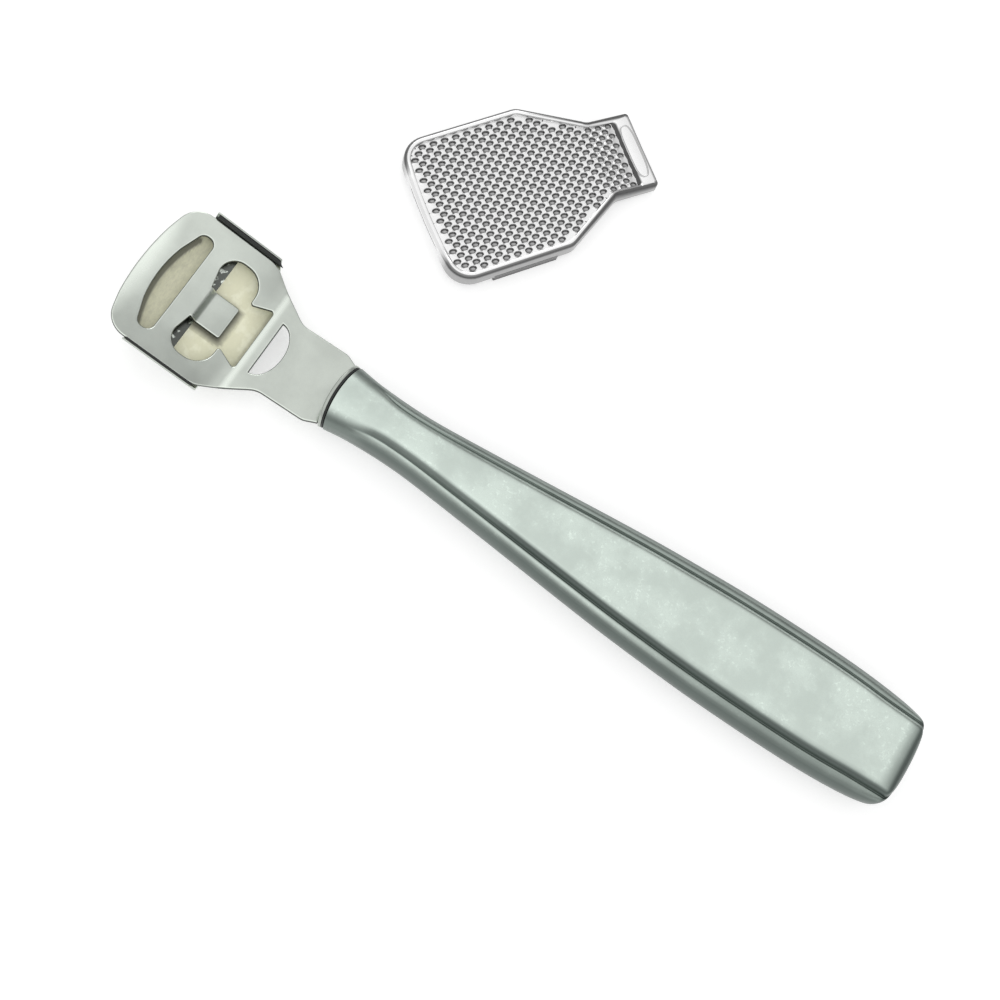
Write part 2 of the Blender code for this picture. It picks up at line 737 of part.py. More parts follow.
def wing_strip(points, front, back):
    """Extrudes a section given as (y, z) along X, with its upper end corners drawn in."""
    bm = flat_sheet([points], back - front)
    stand_across(bm)
    low = min(v.co.z for v in bm.verts)
    high = max(v.co.z for v in bm.verts)
    for vert in bm.verts:
        part = (vert.co.z - low) / (high - low)
        vert.co.x += part * (WING_FRONT_SLOPE if vert.co.x < 0 else -WING_BACK_SLOPE)
        vert.co.x += (front + back) / 2
    return bm


def wing_section():
    foot = WING_FOOT_INNER
    lift = arch_lift(-WING_FRONT, foot)
    root = Vector((foot, SOLE_TOP + lift - WING_ROOT_SINK))
    inner = [root, wing_point(0.0, 0.0), wing_point(1.0, 0.0)]
    knee = wing_point(0.0, WING_THICKNESS)
    knee.y = SOLE_BOTTOM + arch_lift(-WING_FRONT, WING_FOOT_OUTER)
    outer = [wing_point(1.0, WING_THICKNESS), knee]
    return inner + outer + [Vector((foot, SOLE_BOTTOM + lift + WING_ROOT_SINK))]


def pad_section():
    """A wedge that fills the wing's flare and passes the plate's edge upright."""
    bottom = wing_point(PAD_BOTTOM_SHARE, -PAD_GAP)
    top = wing_point(PAD_TOP_SHARE, -PAD_GAP)
    face = HEAD_HALF_WIDTH + PAD_CLEARANCE
    return [Vector((face, bottom.y)), Vector((face, top.y)), top, bottom]


def mirror_y(bm):
    bmesh.ops.scale(bm, vec=(1.0, -1.0, 1.0), verts=bm.verts)
    bmesh.ops.reverse_faces(bm, faces=bm.faces)


def sole(finishes, home, cutters, bore_cutter):
    bm = flat_sheet([sole_outline(), mouth_outline()], SOLE_THICKNESS)
    bmesh.ops.translate(bm, verts=bm.verts, vec=(0.0, 0.0, (SOLE_TOP + SOLE_BOTTOM) / 2))
    arch(bm)
    made = mesh_object("sole_plate", bm, finishes["steel"], home)
    set_on_hinge(made)
    centre = (BARREL_FROM_CREASE, 0.0, -BARREL_DROP)
    reach = BARREL_HALF_LENGTH - WELD
    joined = [tool("sole_barrel", rod_along_y(BARREL_RADIUS, reach, centre), cutters)]
    for name, flipped in (("wing_left", False), ("wing_right", True)):
        wing = wing_strip(wing_section(), -WING_FRONT, -WING_BACK)
        if flipped:
            mirror_y(wing)
        joined.append(tool(name, wing, cutters))
    for item in joined:
        item.matrix_world = head_matrix()
        boolean(made, item, "UNION")
    boolean(made, bore_cutter, "DIFFERENCE")


def pads(finishes, home):
    for name, flipped in (("side_pad_left", False), ("side_pad_right", True)):
        front = -WING_FRONT + PAD_END_MARGIN
        back = -WING_BACK - PAD_END_MARGIN
        strip = wing_strip(pad_section(), front, back)
        if flipped:
            mirror_y(strip)
        set_on_hinge(mesh_object(name, strip, finishes["black"], home))


def blade(finishes, home):
    front = WRAPPER_FRONT - PAPER - WRAPPER_END_ROOM
    points = [
        (-front, 0.0, 0),
        (-front, BLADE_HALF_WIDTH, 0),
        (-BLADE_BACK, BLADE_HALF_WIDTH, BLADE_CORNER),
        (-BLADE_BACK, 0.0, 0),
    ]
    bm = flat_sheet([both_sides(round_corners(points))], BLADE_THICKNESS)
    for vert in bm.verts:
        if vert.co.x < -front + WELD and vert.co.z > 0:
            vert.co.x += BLADE_BEVEL
    bmesh.ops.translate(bm, verts=bm.verts, vec=(0.0, 0.0, BLADE_TOP - BLADE_THICKNESS / 2))
    arch(bm)
    set_on_hinge(mesh_object("blade", bm, finishes["blade"], home))


def wrapper(finishes, home):
    """A flat paper sleeve: a ring drawn as (x, z) and drawn out along Y, then arched.

    Behind its shoulder it narrows with the head plate above it.
    """
    low = BLADE_TOP - BLADE_THICKNESS - FIT - PAPER

    def ring(inset):
        front, back = -WRAPPER_FRONT + inset, -WRAPPER_BACK - inset
        top, bottom = PAPER_TOP - inset, low + inset
        middle = (top + bottom) / 2
        fold = (top - bottom) / 2
        return [
            Vector((front + fold, top)), Vector((front, middle)), Vector((front + fold, bottom)),
            Vector((back - fold, bottom)), Vector((back, middle)), Vector((back - fold, top)),
        ]

    bm = flat_sheet([ring(0.0), ring(PAPER)], 2 * WRAPPER_HALF_WIDTH)
    bm.transform(Matrix.Rotation(math.pi / 2, 4, "X"))
    cut_across(bm, [-WRAPPER_SHOULDER], (1, 0, 0))
    for vert in bm.verts:
        part = max(vert.co.x + WRAPPER_SHOULDER, 0.0) / (WRAPPER_SHOULDER - WRAPPER_BACK)
        vert.co.y *= 1 - (1 - WRAPPER_BACK_SHARE) * part
    arch(bm)
    set_on_hinge(mesh_object("blade_wrapper", bm, finishes["paper"], home))


# Rasp cap

def rasp_outline(inset, reach):
    """The cap's outline drawn in by an inset; its neck end lies at the given reach."""
    corner = max(RASP_CORNER - inset, RASP_NECK_CORNER)
    half = RASP_HALF_WIDTH - inset
    neck = RASP_NECK_HALF_WIDTH - inset
    slant = math.atan2(half - neck, RASP_TAPER_END - RASP_TAPER_START)
    shift = inset * math.tan(slant / 2)
    front = RASP_HALF_LENGTH - inset
    points = bulged_edge(front, half, RASP_END_BULGE, TIP_SHARES)
    points += [
        (-front + RASP_END_BULGE, half, corner),
        (RASP_TAPER_START - shift, half, RASP_TAPER_RADIUS),
        (RASP_TAPER_END - shift, neck, RASP_TAPER_RADIUS),
        (reach, neck, RASP_NECK_CORNER),
        (reach, 0.0, 0),
    ]
    return both_sides(round_corners(points))


def raised_sheet(outline, low, high, flare=0.0):
    """A sheet between two levels, whose lower edge stands out by the flare's slope."""
    bm = flat_sheet([outline], high - low)
    bmesh.ops.translate(bm, verts=bm.verts, vec=(0.0, 0.0, (low + high) / 2))
    out = flare * (high - low)
    for vert in bm.verts:
        if vert.co.z < (low + high) / 2:
            vert.co.x *= 1 + out / RASP_HALF_LENGTH
            vert.co.y *= 1 + out / RASP_HALF_WIDTH
    return bm


def dip(bm, low_drop, high_drop):
    """Lets the cap's neck slope down past its bend, by its own drop below and above."""
    cut_across(bm, [RASP_BEND], (1, 0, 0))
    levels = [vert.co.z for vert in bm.verts]
    middle = (min(levels) + max(levels)) / 2
    for vert in bm.verts:
        share = max(vert.co.x - RASP_BEND, 0.0) / (RASP_HALF_LENGTH - RASP_BEND)
        vert.co.z -= share * (high_drop if vert.co.z > middle else low_drop)
    return bm


def tooth_field(low, base, tip):
    """A slab whose top is a square lattice with every second point raised to a tooth."""
    bm = bmesh.new()
    inner = RASP_WALL + RASP_RIM / 2
    rows = 2 * int((RASP_HALF_WIDTH - inner) / TOOTH_ROW)
    columns = 2 * int(2 * (RASP_HALF_LENGTH - inner) / TOOTH_PITCH)
    grid = []
    for j in range(rows + 1):
        y = (j - rows / 2) * TOOTH_ROW
        line = []
        for i in range(columns + 1):
            x = (i - columns / 2) * TOOTH_PITCH / 2
            line.append(bm.verts.new((x, y, tip if (i + j) % 2 else base)))
        grid.append(line)
    for j in range(rows):
        for i in range(columns):
            a, b = grid[j][i], grid[j][i + 1]
            c, d = grid[j + 1][i], grid[j + 1][i + 1]
            if (i + j) % 2:
                bm.faces.new((a, b, c))
                bm.faces.new((b, d, c))
            else:
                bm.faces.new((a, b, d))
                bm.faces.new((a, d, c))
    edge = [e for e in bm.edges if e.is_boundary]
    skirt = bmesh.ops.extrude_edge_only(bm, edges=edge)["geom"]
    for vert in [item for item in skirt if isinstance(item, bmesh.types.BMVert)]:
        vert.co.z = low
    rim = [e for e in bm.edges if e.is_boundary]
    bmesh.ops.contextual_create(bm, geom=rim)
    return bm


def rasp_tabs(wall_bottom, cutters):
    """The two side tabs that grip the head: a foot under each wall, turned in at the floor."""
    side_face = RASP_HALF_WIDTH + RASP_FLARE * RASP_SKIRT - WELD
    near, far = TAB_CENTRE - TAB_LENGTH / 2, TAB_CENTRE + TAB_LENGTH / 2
    tabs = []
    for name, side in (("tab_left", 1), ("tab_right", -1)):
        for part, reach, top in (("", RASP_WALL, wall_bottom + TAB_LAP),
                                 ("_lip", TAB_LIP, RASP_SHEET)):
            edges = sorted((side * side_face, side * (side_face - reach)))
            block = box((near, edges[0], 0.0), (far, edges[1], top))
            tabs.append(tool(name + part, block, cutters))
    return tabs


def rasp(finishes, home, cutters):
    spot = Matrix.Translation((*RASP_PLACE, 0.0)) @ Matrix.Rotation(RASP_TURN, 4, "Z")
    spot = Matrix.Translation((-REST_FROM_COLLAR, 0.0, 0.0)) @ spot
    drop = RASP_TOP_DROP
    wall_bottom = RASP_HEIGHT - RASP_SKIRT
    field_top = RASP_HEIGHT - RASP_RECESS
    field_bottom = field_top - RASP_SHEET
    field_end = RASP_HALF_LENGTH - RASP_GRIP_LENGTH
    outer = raised_sheet(rasp_outline(0.0, RASP_HALF_LENGTH), wall_bottom, RASP_HEIGHT, RASP_FLARE)
    made = mesh_object("rasp_plate", dip(outer, RASP_SKIRT_DROP, drop), finishes["rasp"], home)
    hollow = rasp_outline(RASP_WALL, RASP_HALF_LENGTH + OVERRUN)
    hollow = dip(raised_sheet(hollow, -OVERRUN, field_bottom, RASP_FLARE), 0.0, drop)
    recess = rasp_outline(RASP_WALL + RASP_RIM, field_end)
    recess = dip(raised_sheet(recess, field_top, RASP_HEIGHT + OVERRUN), drop, drop)
    notch_front = -RASP_HALF_LENGTH - RASP_FLARE * RASP_HEIGHT - OVERRUN
    notch = box((notch_front, -RASP_END_NOTCH, -OVERRUN),
                (notch_front + RASP_RIM + 2 * OVERRUN, RASP_END_NOTCH, RASP_HEIGHT - RASP_END_WALL))
    cuts = [tool("rasp_hollow", hollow, cutters), tool("rasp_recess", recess, cutters),
            tool("rasp_end_notch", notch, cutters)]
    low, base = field_bottom + TOOTH_SEAT, field_top + TOOTH_SEAT
    field = dip(tooth_field(low, base, field_top + TOOTH_HEIGHT), drop, drop)
    teeth = tool("rasp_teeth", field, cutters)
    trimmed = rasp_outline(RASP_WALL + RASP_RIM + TOOTH_RIM_ROOM, field_end - TOOTH_RIM_ROOM)
    trim = tool("teeth_trim", raised_sheet(trimmed, 0.0, RASP_HEIGHT + OVERRUN), cutters)
    boolean(teeth, trim, "INTERSECT")
    joins = [teeth] + rasp_tabs(wall_bottom, cutters)
    for item in [made, trim, *cuts, *joins]:
        item.matrix_world = spot
    for item in cuts:
        boolean(made, item, "DIFFERENCE")
    for item in joins:
        boolean(made, item, "UNION")


def main():
    clear_scene()
    home = collection("callus_shaver")
    cutters = collection("callus_shaver_cutters")
    finishes = {
        "handle": material("satin_steel_handle", (0.60, 0.64, 0.62), 0.36, 1.0),
        "plate": material("satin_steel_plate", (0.66, 0.69, 0.66), 0.34, 1.0),
        "steel": material("plain_steel", (0.58, 0.62, 0.60), 0.32, 1.0),
        "rasp": material("polished_steel_rasp", (0.80, 0.80, 0.80), 0.15, 1.0),
        "blade": material("blade_steel", (0.30, 0.32, 0.32), 0.25, 1.0),
        "black": material("black_rubber", (0.02, 0.022, 0.02), 0.5, 0.0),
        "paper": material("waxed_paper", (0.72, 0.68, 0.50), 0.55, 0.0),
        "resin": material("grey_resin", (0.30, 0.30, 0.28), 0.6, 0.0),
    }
    handle_shell("handle_top_shell", 1, finishes["handle"], home)
    handle_shell("handle_bottom_shell", -1, finishes["handle"], home)
    collar(finishes, home)
    plug(finishes, home)
    head_plate(finishes, home)
    bore_cutter = hinge(finishes, home, cutters)
    sole(finishes, home, cutters, bore_cutter)
    pads(finishes, home)
    blade(finishes, home)
    wrapper(finishes, home)
    rasp(finishes, home, cutters)


main()
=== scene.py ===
"""Dresses the callus shaver: its satin steel handle and head, the wrapped blade and the rasp cap.

Everything is in metres in the frame's own axes: +Z up, the head towards -X.
"""

import math

import bmesh
import bpy
from bpy.props import FloatProperty, FloatVectorProperty, IntProperty, PointerProperty
from bpy.types import Operator, Panel, PropertyGroup
from mathutils import Matrix, Vector
from mathutils.geometry import tessellate_polygon


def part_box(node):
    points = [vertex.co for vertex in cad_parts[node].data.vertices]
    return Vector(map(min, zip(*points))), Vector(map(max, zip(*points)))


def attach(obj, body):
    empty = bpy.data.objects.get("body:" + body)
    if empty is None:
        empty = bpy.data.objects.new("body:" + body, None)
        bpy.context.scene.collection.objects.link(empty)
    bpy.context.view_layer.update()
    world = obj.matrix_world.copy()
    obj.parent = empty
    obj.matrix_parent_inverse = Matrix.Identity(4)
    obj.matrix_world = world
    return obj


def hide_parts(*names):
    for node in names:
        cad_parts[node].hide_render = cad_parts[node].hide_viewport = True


bl_info = {
    "name": "Callus Shaver",
    "version": (1, 0, 0),
    "blender": (4, 5, 0),
    "location": "3D View > Sidebar > Shaver",
    "description": "Makes the steel, paper and rubber of a callus shaver and its rasp cap",
    "category": "Add Mesh",
}

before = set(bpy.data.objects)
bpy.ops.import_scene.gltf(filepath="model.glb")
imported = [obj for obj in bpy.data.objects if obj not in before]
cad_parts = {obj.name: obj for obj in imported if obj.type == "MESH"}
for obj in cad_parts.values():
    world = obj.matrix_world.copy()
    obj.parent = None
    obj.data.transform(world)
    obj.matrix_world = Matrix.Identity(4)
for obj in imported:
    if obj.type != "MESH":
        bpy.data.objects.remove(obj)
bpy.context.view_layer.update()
SHELL_LOW, SHELL_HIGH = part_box("handle_top_shell")
PLATE_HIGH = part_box("head_plate")[1]
COLLAR_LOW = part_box("collar_ring")[0]
SEAL_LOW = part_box("collar_seal")[0]
MOUTH_X = SHELL_LOW.x
LEVEL = SHELL_HIGH.z / 2
CREASE_X = MOUTH_X - 0.0163

# Half width along the handle: share of its length, share of its widest half width
HANDLE_WIDTHS = [
    (0.0, 0.578), (0.035, 0.532), (0.075, 0.509), (0.110, 0.504), (0.147, 0.518), (0.221, 0.587),
    (0.294, 0.660), (0.368, 0.737), (0.441, 0.814), (0.515, 0.884), (0.588, 0.935), (0.662, 0.977),
    (0.735, 0.996), (0.809, 1.0), (0.870, 0.986), (0.920, 0.951), (0.955, 0.906), (0.978, 0.852),
    (0.990, 0.770), (0.997, 0.630), (1.0, 0.450),
]
# The section's rolled side: share of the roll inwards, share of the lip's height, painted shade
ROLL_PROFILE = [(0.0, 0.20, 1.0), (0.08, 0.40, 1.0), (0.19, 0.57, 1.0), (0.32, 0.71, 1.0),
                (0.48, 0.83, 0.85), (0.64, 0.92, 0.45), (0.80, 0.975, 0.22), (0.93, 1.0, 0.15)]

# The head's frame: x from the crease, y from the middle line
TIP_BULGE, CURL_REACH, SHINE_REACH = 0.0020, 0.0036, 0.0042
SLOT_FROM_TIP, SLOT_BULGE, SLOT_SIDE = 0.0036, 0.0021, 0.0094
TONGUE_ROOT, TONGUE_TIP, TONGUE_SIDE, TONGUE_BEND = -0.0112, -0.0054, 0.0031, 0.0014
ARCH_START, ARCH_REACH = -0.0004, 0.0060
TANG_SIDE, TANG_RISE = 0.0036, 0.00045
WING_FRONT, WING_BACK, WING_THICKNESS = -0.0175, -0.0034, 0.0003
WING_FOOT, WING_TOP = 0.0121, (0.01316, 0.00298)
MOUTH_FRONT_FROM_TIP, MOUTH_LENGTH, MOUTH_SIDE = 0.0034, 0.0026, 0.0090
BARREL_RADIUS, BARREL_LENGTH, BARREL_PLACE = 0.0010, 0.0104, (0.0006, 0.0, -0.0022)
SLEEVE_FROM_TIP, SLEEVE_BACK, SLEEVE_SHOULDER, SLEEVE_WIDTH = 0.0033, -0.0010, -0.0046, 0.0218
# Where the paper's top stays open over the blade
FOLD_OPEN = (-0.0127, -0.0103)
BLADE_THICKNESS = 0.0003
FIT = 0.00008

# The cap's frame: x towards its neck, y across
RASP_SPOT, RASP_TURN = (MOUTH_X + 0.0063, 0.0536, 0.0), math.radians(54.5)
RASP_TAPER = (0.0016, 0.0130)
RASP_BEND, RASP_GRIP = 0.0120, 0.0034
TAB_X = (-0.0135, -0.0011)
# A punched tooth from its foot to its hole: half length and half width as shares of half a pitch
# and of a row, height as a share of the tooth's, and painted shade
TOOTH_RINGS = [(0.80, 0.59, 0.0, 0.15), (0.77, 0.565, 0.6, 0.0), (0.73, 0.53, 1.0, 0.0),
               (0.68, 0.49, 0.9, 0.25), (0.63, 0.44, 0.1, 0.8), (0.56, 0.38, -0.7, 1.0),
               (0.30, 0.18, -1.0, 0.9)]

ALONG, ACROSS = (1, 0, 0), (0, 1, 0)
WHITE = (1.0, 1.0, 1.0, 1.0)
ARC_STEPS = 10
WELD = 0.0000005


# Sizes and colours

def metres(name, description, default):
    return FloatProperty(name=name, description=description, default=default, unit="LENGTH")


def colour(name, description, default):
    return FloatVectorProperty(name=name, description=description, default=default,
                               subtype="COLOR")


class HandleSizes(PropertyGroup):
    """Sizes of the hollow handle."""

    length: metres("Length", "From the mouth to the tail", SHELL_HIGH.x - SHELL_LOW.x)
    half_width: metres("Half width", "Half of the widest place", SHELL_HIGH.y)
    half_thickness: metres("Half thickness", "Half of the height", SHELL_HIGH.z / 2)
    roll_share: FloatProperty(name="Side roll", description="Share of the way to the groove",
                              default=0.82, min=0.5, max=0.95)
    panel_step: metres("Panel step", "Height of the panel over the lip", 0.0010)
    panel_flank: metres("Panel flank", "From the groove to the panel", 0.0010)
    groove_inset: metres("Groove inset", "From the side, at the widest", 0.00245)
    groove_draw: metres("Groove draw", "How far it nears the side", 0.0011)
    groove_depth: metres("Groove depth", "Depth under the lip", 0.0003)
    groove_start: metres("Groove start", "From the mouth", 0.0042)
    groove_fade: metres("Groove fade", "Length over which it deepens", 0.0050)
    step_fade: metres("Step fade", "Length over which the panel rises", 0.0450)
    tail_fade: metres("Tail fade", "Length over which it ends", 0.0012)
    tail_room: metres("Tail room", "From the groove's end to the side", 0.0011)
    tail_edge: metres("Tail edge", "Radius of the tail's round edge", 0.0024)
    section_power: FloatProperty(name="Squareness", description="Of the mouth's oval",
                                 default=2.6, min=2.0, max=6.0)
    mouth_bow: metres("Mouth bow", "How far its sides lie back", 0.0008)
    bow_reach: metres("Bow reach", "Where the bow has faded out", 0.0060)
    collar_thickness: metres("Collar", "Thickness of the ring", 0.0006)
    seal_thickness: metres("Seal", "Thickness of the black seal", 0.0003)
    stations: IntProperty(name="Stations", description="Rings along the handle", default=64)


class HeadSizes(PropertyGroup):
    """Sizes of the head plate, the sole and the wrapped blade under it."""

    plate_thickness: metres("Plate", "Thickness of the plate", 0.0009)
    plate_edge: metres("Plate edge", "Radius of the plate's edges", 0.00024)
    length: metres("Head length", "From the crease to the tip", 0.0230)
    half_width: metres("Half width", "Half of the head's width", 0.0126)
    pitch: FloatProperty(name="Pitch", description="How far the tip is turned up",
                         default=math.radians(12.0), subtype="ANGLE")
    arch_lift: metres("Arch", "How far the head's sides turn up", 0.0013)
    tip_drop: metres("Tip drop", "How far the tip's edge curls down", 0.0003)
    throat: metres("Throat", "From the plate down to the paper", 0.0014)
    sole_thickness: metres("Sole", "Thickness of the sole", 0.0005)
    paper: metres("Paper", "Thickness of the paper", 0.00015)
    paper_wave: metres("Paper wave", "Height of the waves in the paper", 0.00005)


class RaspSizes(PropertyGroup):
    """Sizes of the rasp cap, in its own frame."""

    half_length: metres("Half length", "Half of the cap's length", 0.0217)
    half_width: metres("Half width", "Half of its width", 0.0139)
    neck_half_width: metres("Neck half width", "Half of its neck", 0.0075)
    height: metres("Height", "Of the rim over the floor", 0.0044)
    rim: metres("Rim", "Width of the rim round the teeth", 0.0012)
    recess: metres("Recess", "How far the field lies under the rim", 0.0007)
    tooth_pitch: metres("Tooth pitch", "Along a row", 0.00214)
    tooth_row: metres("Row spacing", "Between rows", 0.0010)
    tooth_height: metres("Tooth height", "Of the burrs over the sheet", 0.0004)


class Finishes(PropertyGroup):
    """Colours and surfaces."""

    handle_steel: colour("Handle steel", "Its lit panel", (0.62, 0.70, 0.645))
    # Painted shade: the rolled sides and grooves are the panel's steel, darkened in colour where
    # they face away from the light
    handle_painted_shade: colour("Handle sides", "Its dull rolled sides", (0.13, 0.155, 0.143))
    plate_steel: colour("Plate steel", "The head plate", (0.53, 0.565, 0.52))
    chrome: colour("Chrome", "The rasp cap", (0.95, 0.95, 0.95))
    # Painted shade: this grey stands for the shade seen in the punched holes, and darkens lines on
    # the rim, wall and tabs
    chrome_painted_shade: colour("Chrome holes", "Inside the punched holes", (0.33, 0.33, 0.33))
    paper: colour("Paper", "Waxed paper", (0.69, 0.685, 0.50))
    rubber: colour("Rubber", "Pads and seal", (0.012, 0.014, 0.013))
    resin: colour("Resin", "Plug in the mouth", (0.28, 0.28, 0.25))


class StageSettings(PropertyGroup):
    """Light and camera."""

    key_power: FloatProperty(name="Key", description="Power of the soft key light", default=0.6,
                             subtype="POWER")
    key_size: metres("Key size", "Side of the key light", 0.34)
    bright: FloatProperty(name="Bright side", description="Brightness of the studio overhead",
                          default=1.21)
    dim: FloatProperty(name="Dim side", description="Brightness of the studio's dim side",
                       default=0.33)
    bright_way: FloatVectorProperty(name="Bright way", description="Where the studio is bright",
                                    default=(0.10, -0.28, 0.95), subtype="DIRECTION")
    floor: FloatProperty(name="Floor", description="Reflectance of the pale floor", default=0.70)
    floor_glow: FloatProperty(name="Floor glow", description="Whitens the floor as it is seen",
                              default=0.48)
    lens: FloatProperty(name="Lens", description="Focal length in millimetres", default=49.681)


# Small geometry tools

def smooth_step(value):
    value = min(max(value, 0.0), 1.0)
    return value * value * (3 - 2 * value)


def blend_table(table, share):
    """Reads a smooth value between the pairs of a table."""
    for i in range(len(table) - 1):
        (a, low), (b, high) = table[i], table[i + 1]
        if share <= b:
            before = table[i - 1] if i > 0 else (a - (b - a), low)
            after = table[i + 2] if i + 2 < len(table) else (b + (b - a), high)
            slope_low = (high - before[1]) / (b - before[0])
            slope_high = (after[1] - low) / (after[0] - a)
            span = b - a
            t = (share - a) / span
            return ((2 * t**3 - 3 * t**2 + 1) * low + (t**3 - 2 * t**2 + t) * span * slope_low
                    + (3 * t**2 - 2 * t**3) * high + (t**3 - t**2) * span * slope_high)
    return table[-1][1]


def circle(count):
    """Cosine and sine of evenly spaced angles, once round."""
    angles = [2 * math.pi * k / count for k in range(count)]
    return [(math.cos(angle), math.sin(angle)) for angle in angles]


def squared_oval(half_x, half_y, power_x, power_y, count):
    return [Vector((math.copysign(half_x * abs(c) ** power_x, c),
                    math.copysign(half_y * abs(s) ** power_y, s))) for c, s in circle(count)]


def round_corners(points, closed=False):
    """The outline through (x, y, radius) points, with an arc at each rounded corner."""
    outline = []
    count = len(points)
    for i, (x, y, radius) in enumerate(points):
        here = Vector((x, y))
        if radius == 0 or (not closed and i in (0, count - 1)):
            outline.append(here)
            continue
        back = (Vector(points[i - 1][:2]) - here).normalized()
        ahead = (Vector(points[(i + 1) % count][:2]) - here).normalized()
        half = back.angle(ahead) / 2
        middle = here + (back + ahead).normalized() * (radius / math.sin(half))
        start = here + back * (radius / math.tan(half)) - middle
        end = here + ahead * (radius / math.tan(half)) - middle
        sweep = start.angle_signed(end)
        for k in range(ARC_STEPS + 1):
            outline.append(middle + Matrix.Rotation(-sweep * k / ARC_STEPS, 2) @ start)
    return outline


def both_sides(half):
    """Closes an outline whose half runs from the middle line out and back to it."""
    return half + [Vector((p.x, -p.y)) for p in reversed(half) if abs(p.y) > WELD]


def rounded(points):
    """The whole outline of a form given by the points of its half."""
    return both_sides(round_corners(points))


def bulged_edge(front, half_width, bulge):
    """The front edge out to 56 % of its half width; its corner follows."""
    return [(-front + bulge * share**2, share * half_width, 0)
            for share in (0.0, 0.08, 0.16, 0.24, 0.32, 0.4, 0.48, 0.56)]


def turned(loop, anticlockwise):
    """The loop, turned so that it runs the wanted way round."""
    area = sum(a.x * b.y - b.x * a.y for a, b in zip(loop, loop[1:] + loop[:1]))
    return loop if (area > 0) == anticlockwise else list(reversed(loop))


def drawn_in(loop, inset):
    """The loop moved by an inset to its left-hand side."""
    places = []
    for i, here in enumerate(loop):
        a = (here - loop[i - 1]).normalized()
        b = (loop[(i + 1) % len(loop)] - here).normalized()
        along = a + b
        along = along.normalized() if along.length > 0.01 else b
        side = Vector((-along.y, along.x))
        lean = max(Vector((-a.y, a.x)).dot(side), 0.6)
        places.append(here + side * (inset / lean))
    return places


def inside(loop, x, y):
    """Whether a place lies inside the loop: an odd number of its edges lie to the right."""
    return sum((a.y > y) != (b.y > y) and x < (b.x - a.x) * (y - a.y) / (b.y - a.y) + a.x
               for a, b in zip(loop, loop[1:] + loop[:1])) % 2 == 1


def new_mesh(layer):
    """An empty bmesh and the layer in which its vertices carry a value for the shader."""
    bm = bmesh.new()
    return bm, bm.verts.layers.float.new(layer)


def add_vert(bm, place, layer, value):
    vert = bm.verts.new(place)
    vert[layer] = value
    return vert


def skin(bm, rings, closed=True, gap=()):
    """Joins each ring of vertices to the next with faces, but for the places in the gap."""
    count = len(rings[0])
    for upper, lower in zip(rings, rings[1:]):
        for k in range(count if closed else count - 1):
            if k not in gap:
                j = (k + 1) % count
                bm.faces.new((upper[k], lower[k], lower[j], upper[j]))


def flat_places(ring):
    return [Vector((vert.co.x, vert.co.y, 0.0)) for vert in ring]


def edged_sheet(loops, thickness, edge, polish_and_light_scale=1.0):
    """A flat sheet on z = 0 with rounded edges round its outline and holes.

    The edge layer, for the shader, is above 0 on the rounding, where it makes the steel less rough
    and paints a highlight, and below 0 on the cut wall, where it paints shade; the last argument
    scales it.
    """
    bm, polish_and_painted_light = new_mesh("polish_and_painted_light")
    half = thickness / 2
    # Painted highlight on the top of the rounding, painted shade down the cut wall
    rows = [(edge, half, 0.1), (edge * 0.6, half - edge * 0.1, 1.0),
            (edge * 0.2, half - edge * 0.4, -0.4), (0.0, half - edge, -0.8)]
    rows += [(inset, -z, wear_and_painted_light) for inset, z, wear_and_painted_light in reversed(rows)]
    top, bottom, flat = [], [], []
    for number, loop in enumerate(loops):
        loop = turned(loop, number == 0)
        rings = [[add_vert(bm, (p.x, p.y, z), polish_and_painted_light, wear_and_painted_light * polish_and_light_scale) for p in drawn_in(loop, inset)]
                 for inset, z, wear_and_painted_light in rows]
        skin(bm, rings)
        flat.append(flat_places(rings[0]))
        top += rings[0]
        bottom += rings[-1]
    for a, b, c in tessellate_polygon(flat):
        bm.faces.new((top[a], top[b], top[c]))
        bm.faces.new((bottom[c], bottom[b], bottom[a]))
    return bm


def cut_across(bm, normal, *spans):
    """Cuts the mesh at planes across one axis, so that it can bend there.

    Each span gives its first place, its last place and about the step between the planes.
    """
    for low, high, step in spans:
        count = max(round((high - low) / step), 1)
        for k in range(count + 1):
            place = Vector(normal) * (low + (high - low) * k / count)
            whole = list(bm.verts) + list(bm.edges) + list(bm.faces)
            bmesh.ops.bisect_plane(bm, geom=whole, dist=WELD, plane_co=place, plane_no=normal)


def moved(bm, *step):
    bmesh.ops.translate(bm, verts=bm.verts, vec=step)
    return bm


def stand_across(bm):
    """Turns a sheet drawn as (y, z) so that its thickness lies along X."""
    bm.transform(Matrix(((0, 0, 1, 0), (1, 0, 0, 0), (0, 1, 0, 0), (0, 0, 0, 1))))


def mirrored(bm):
    bmesh.ops.scale(bm, vec=(1.0, -1.0, 1.0), verts=bm.verts)
    bmesh.ops.reverse_faces(bm, faces=bm.faces)
    return bm


def turned_out(bm):
    """The mesh with its faces turned outwards."""
    bmesh.ops.recalc_face_normals(bm, faces=bm.faces)
    if bm.calc_volume(signed=True) < 0:
        bmesh.ops.reverse_faces(bm, faces=bm.faces)
    return bm


def turned_up(bm):
    """The open sheet with its faces turned up."""
    bm.normal_update()
    bmesh.ops.reverse_faces(bm, faces=[face for face in bm.faces if face.normal.z < 0])
    return bm


def rounded_block(low, high, edge):
    bm = bmesh.new()
    size = [b - a for a, b in zip(low, high)]
    centre = [(a + b) / 2 for a, b in zip(low, high)]
    place = Matrix.Translation(centre) @ Matrix.Diagonal((*size, 1.0))
    bmesh.ops.create_cube(bm, size=1.0, matrix=place)
    bmesh.ops.bevel(bm, geom=list(bm.edges), offset=edge, segments=3, profile=0.6,
                    affect="EDGES")
    return bm


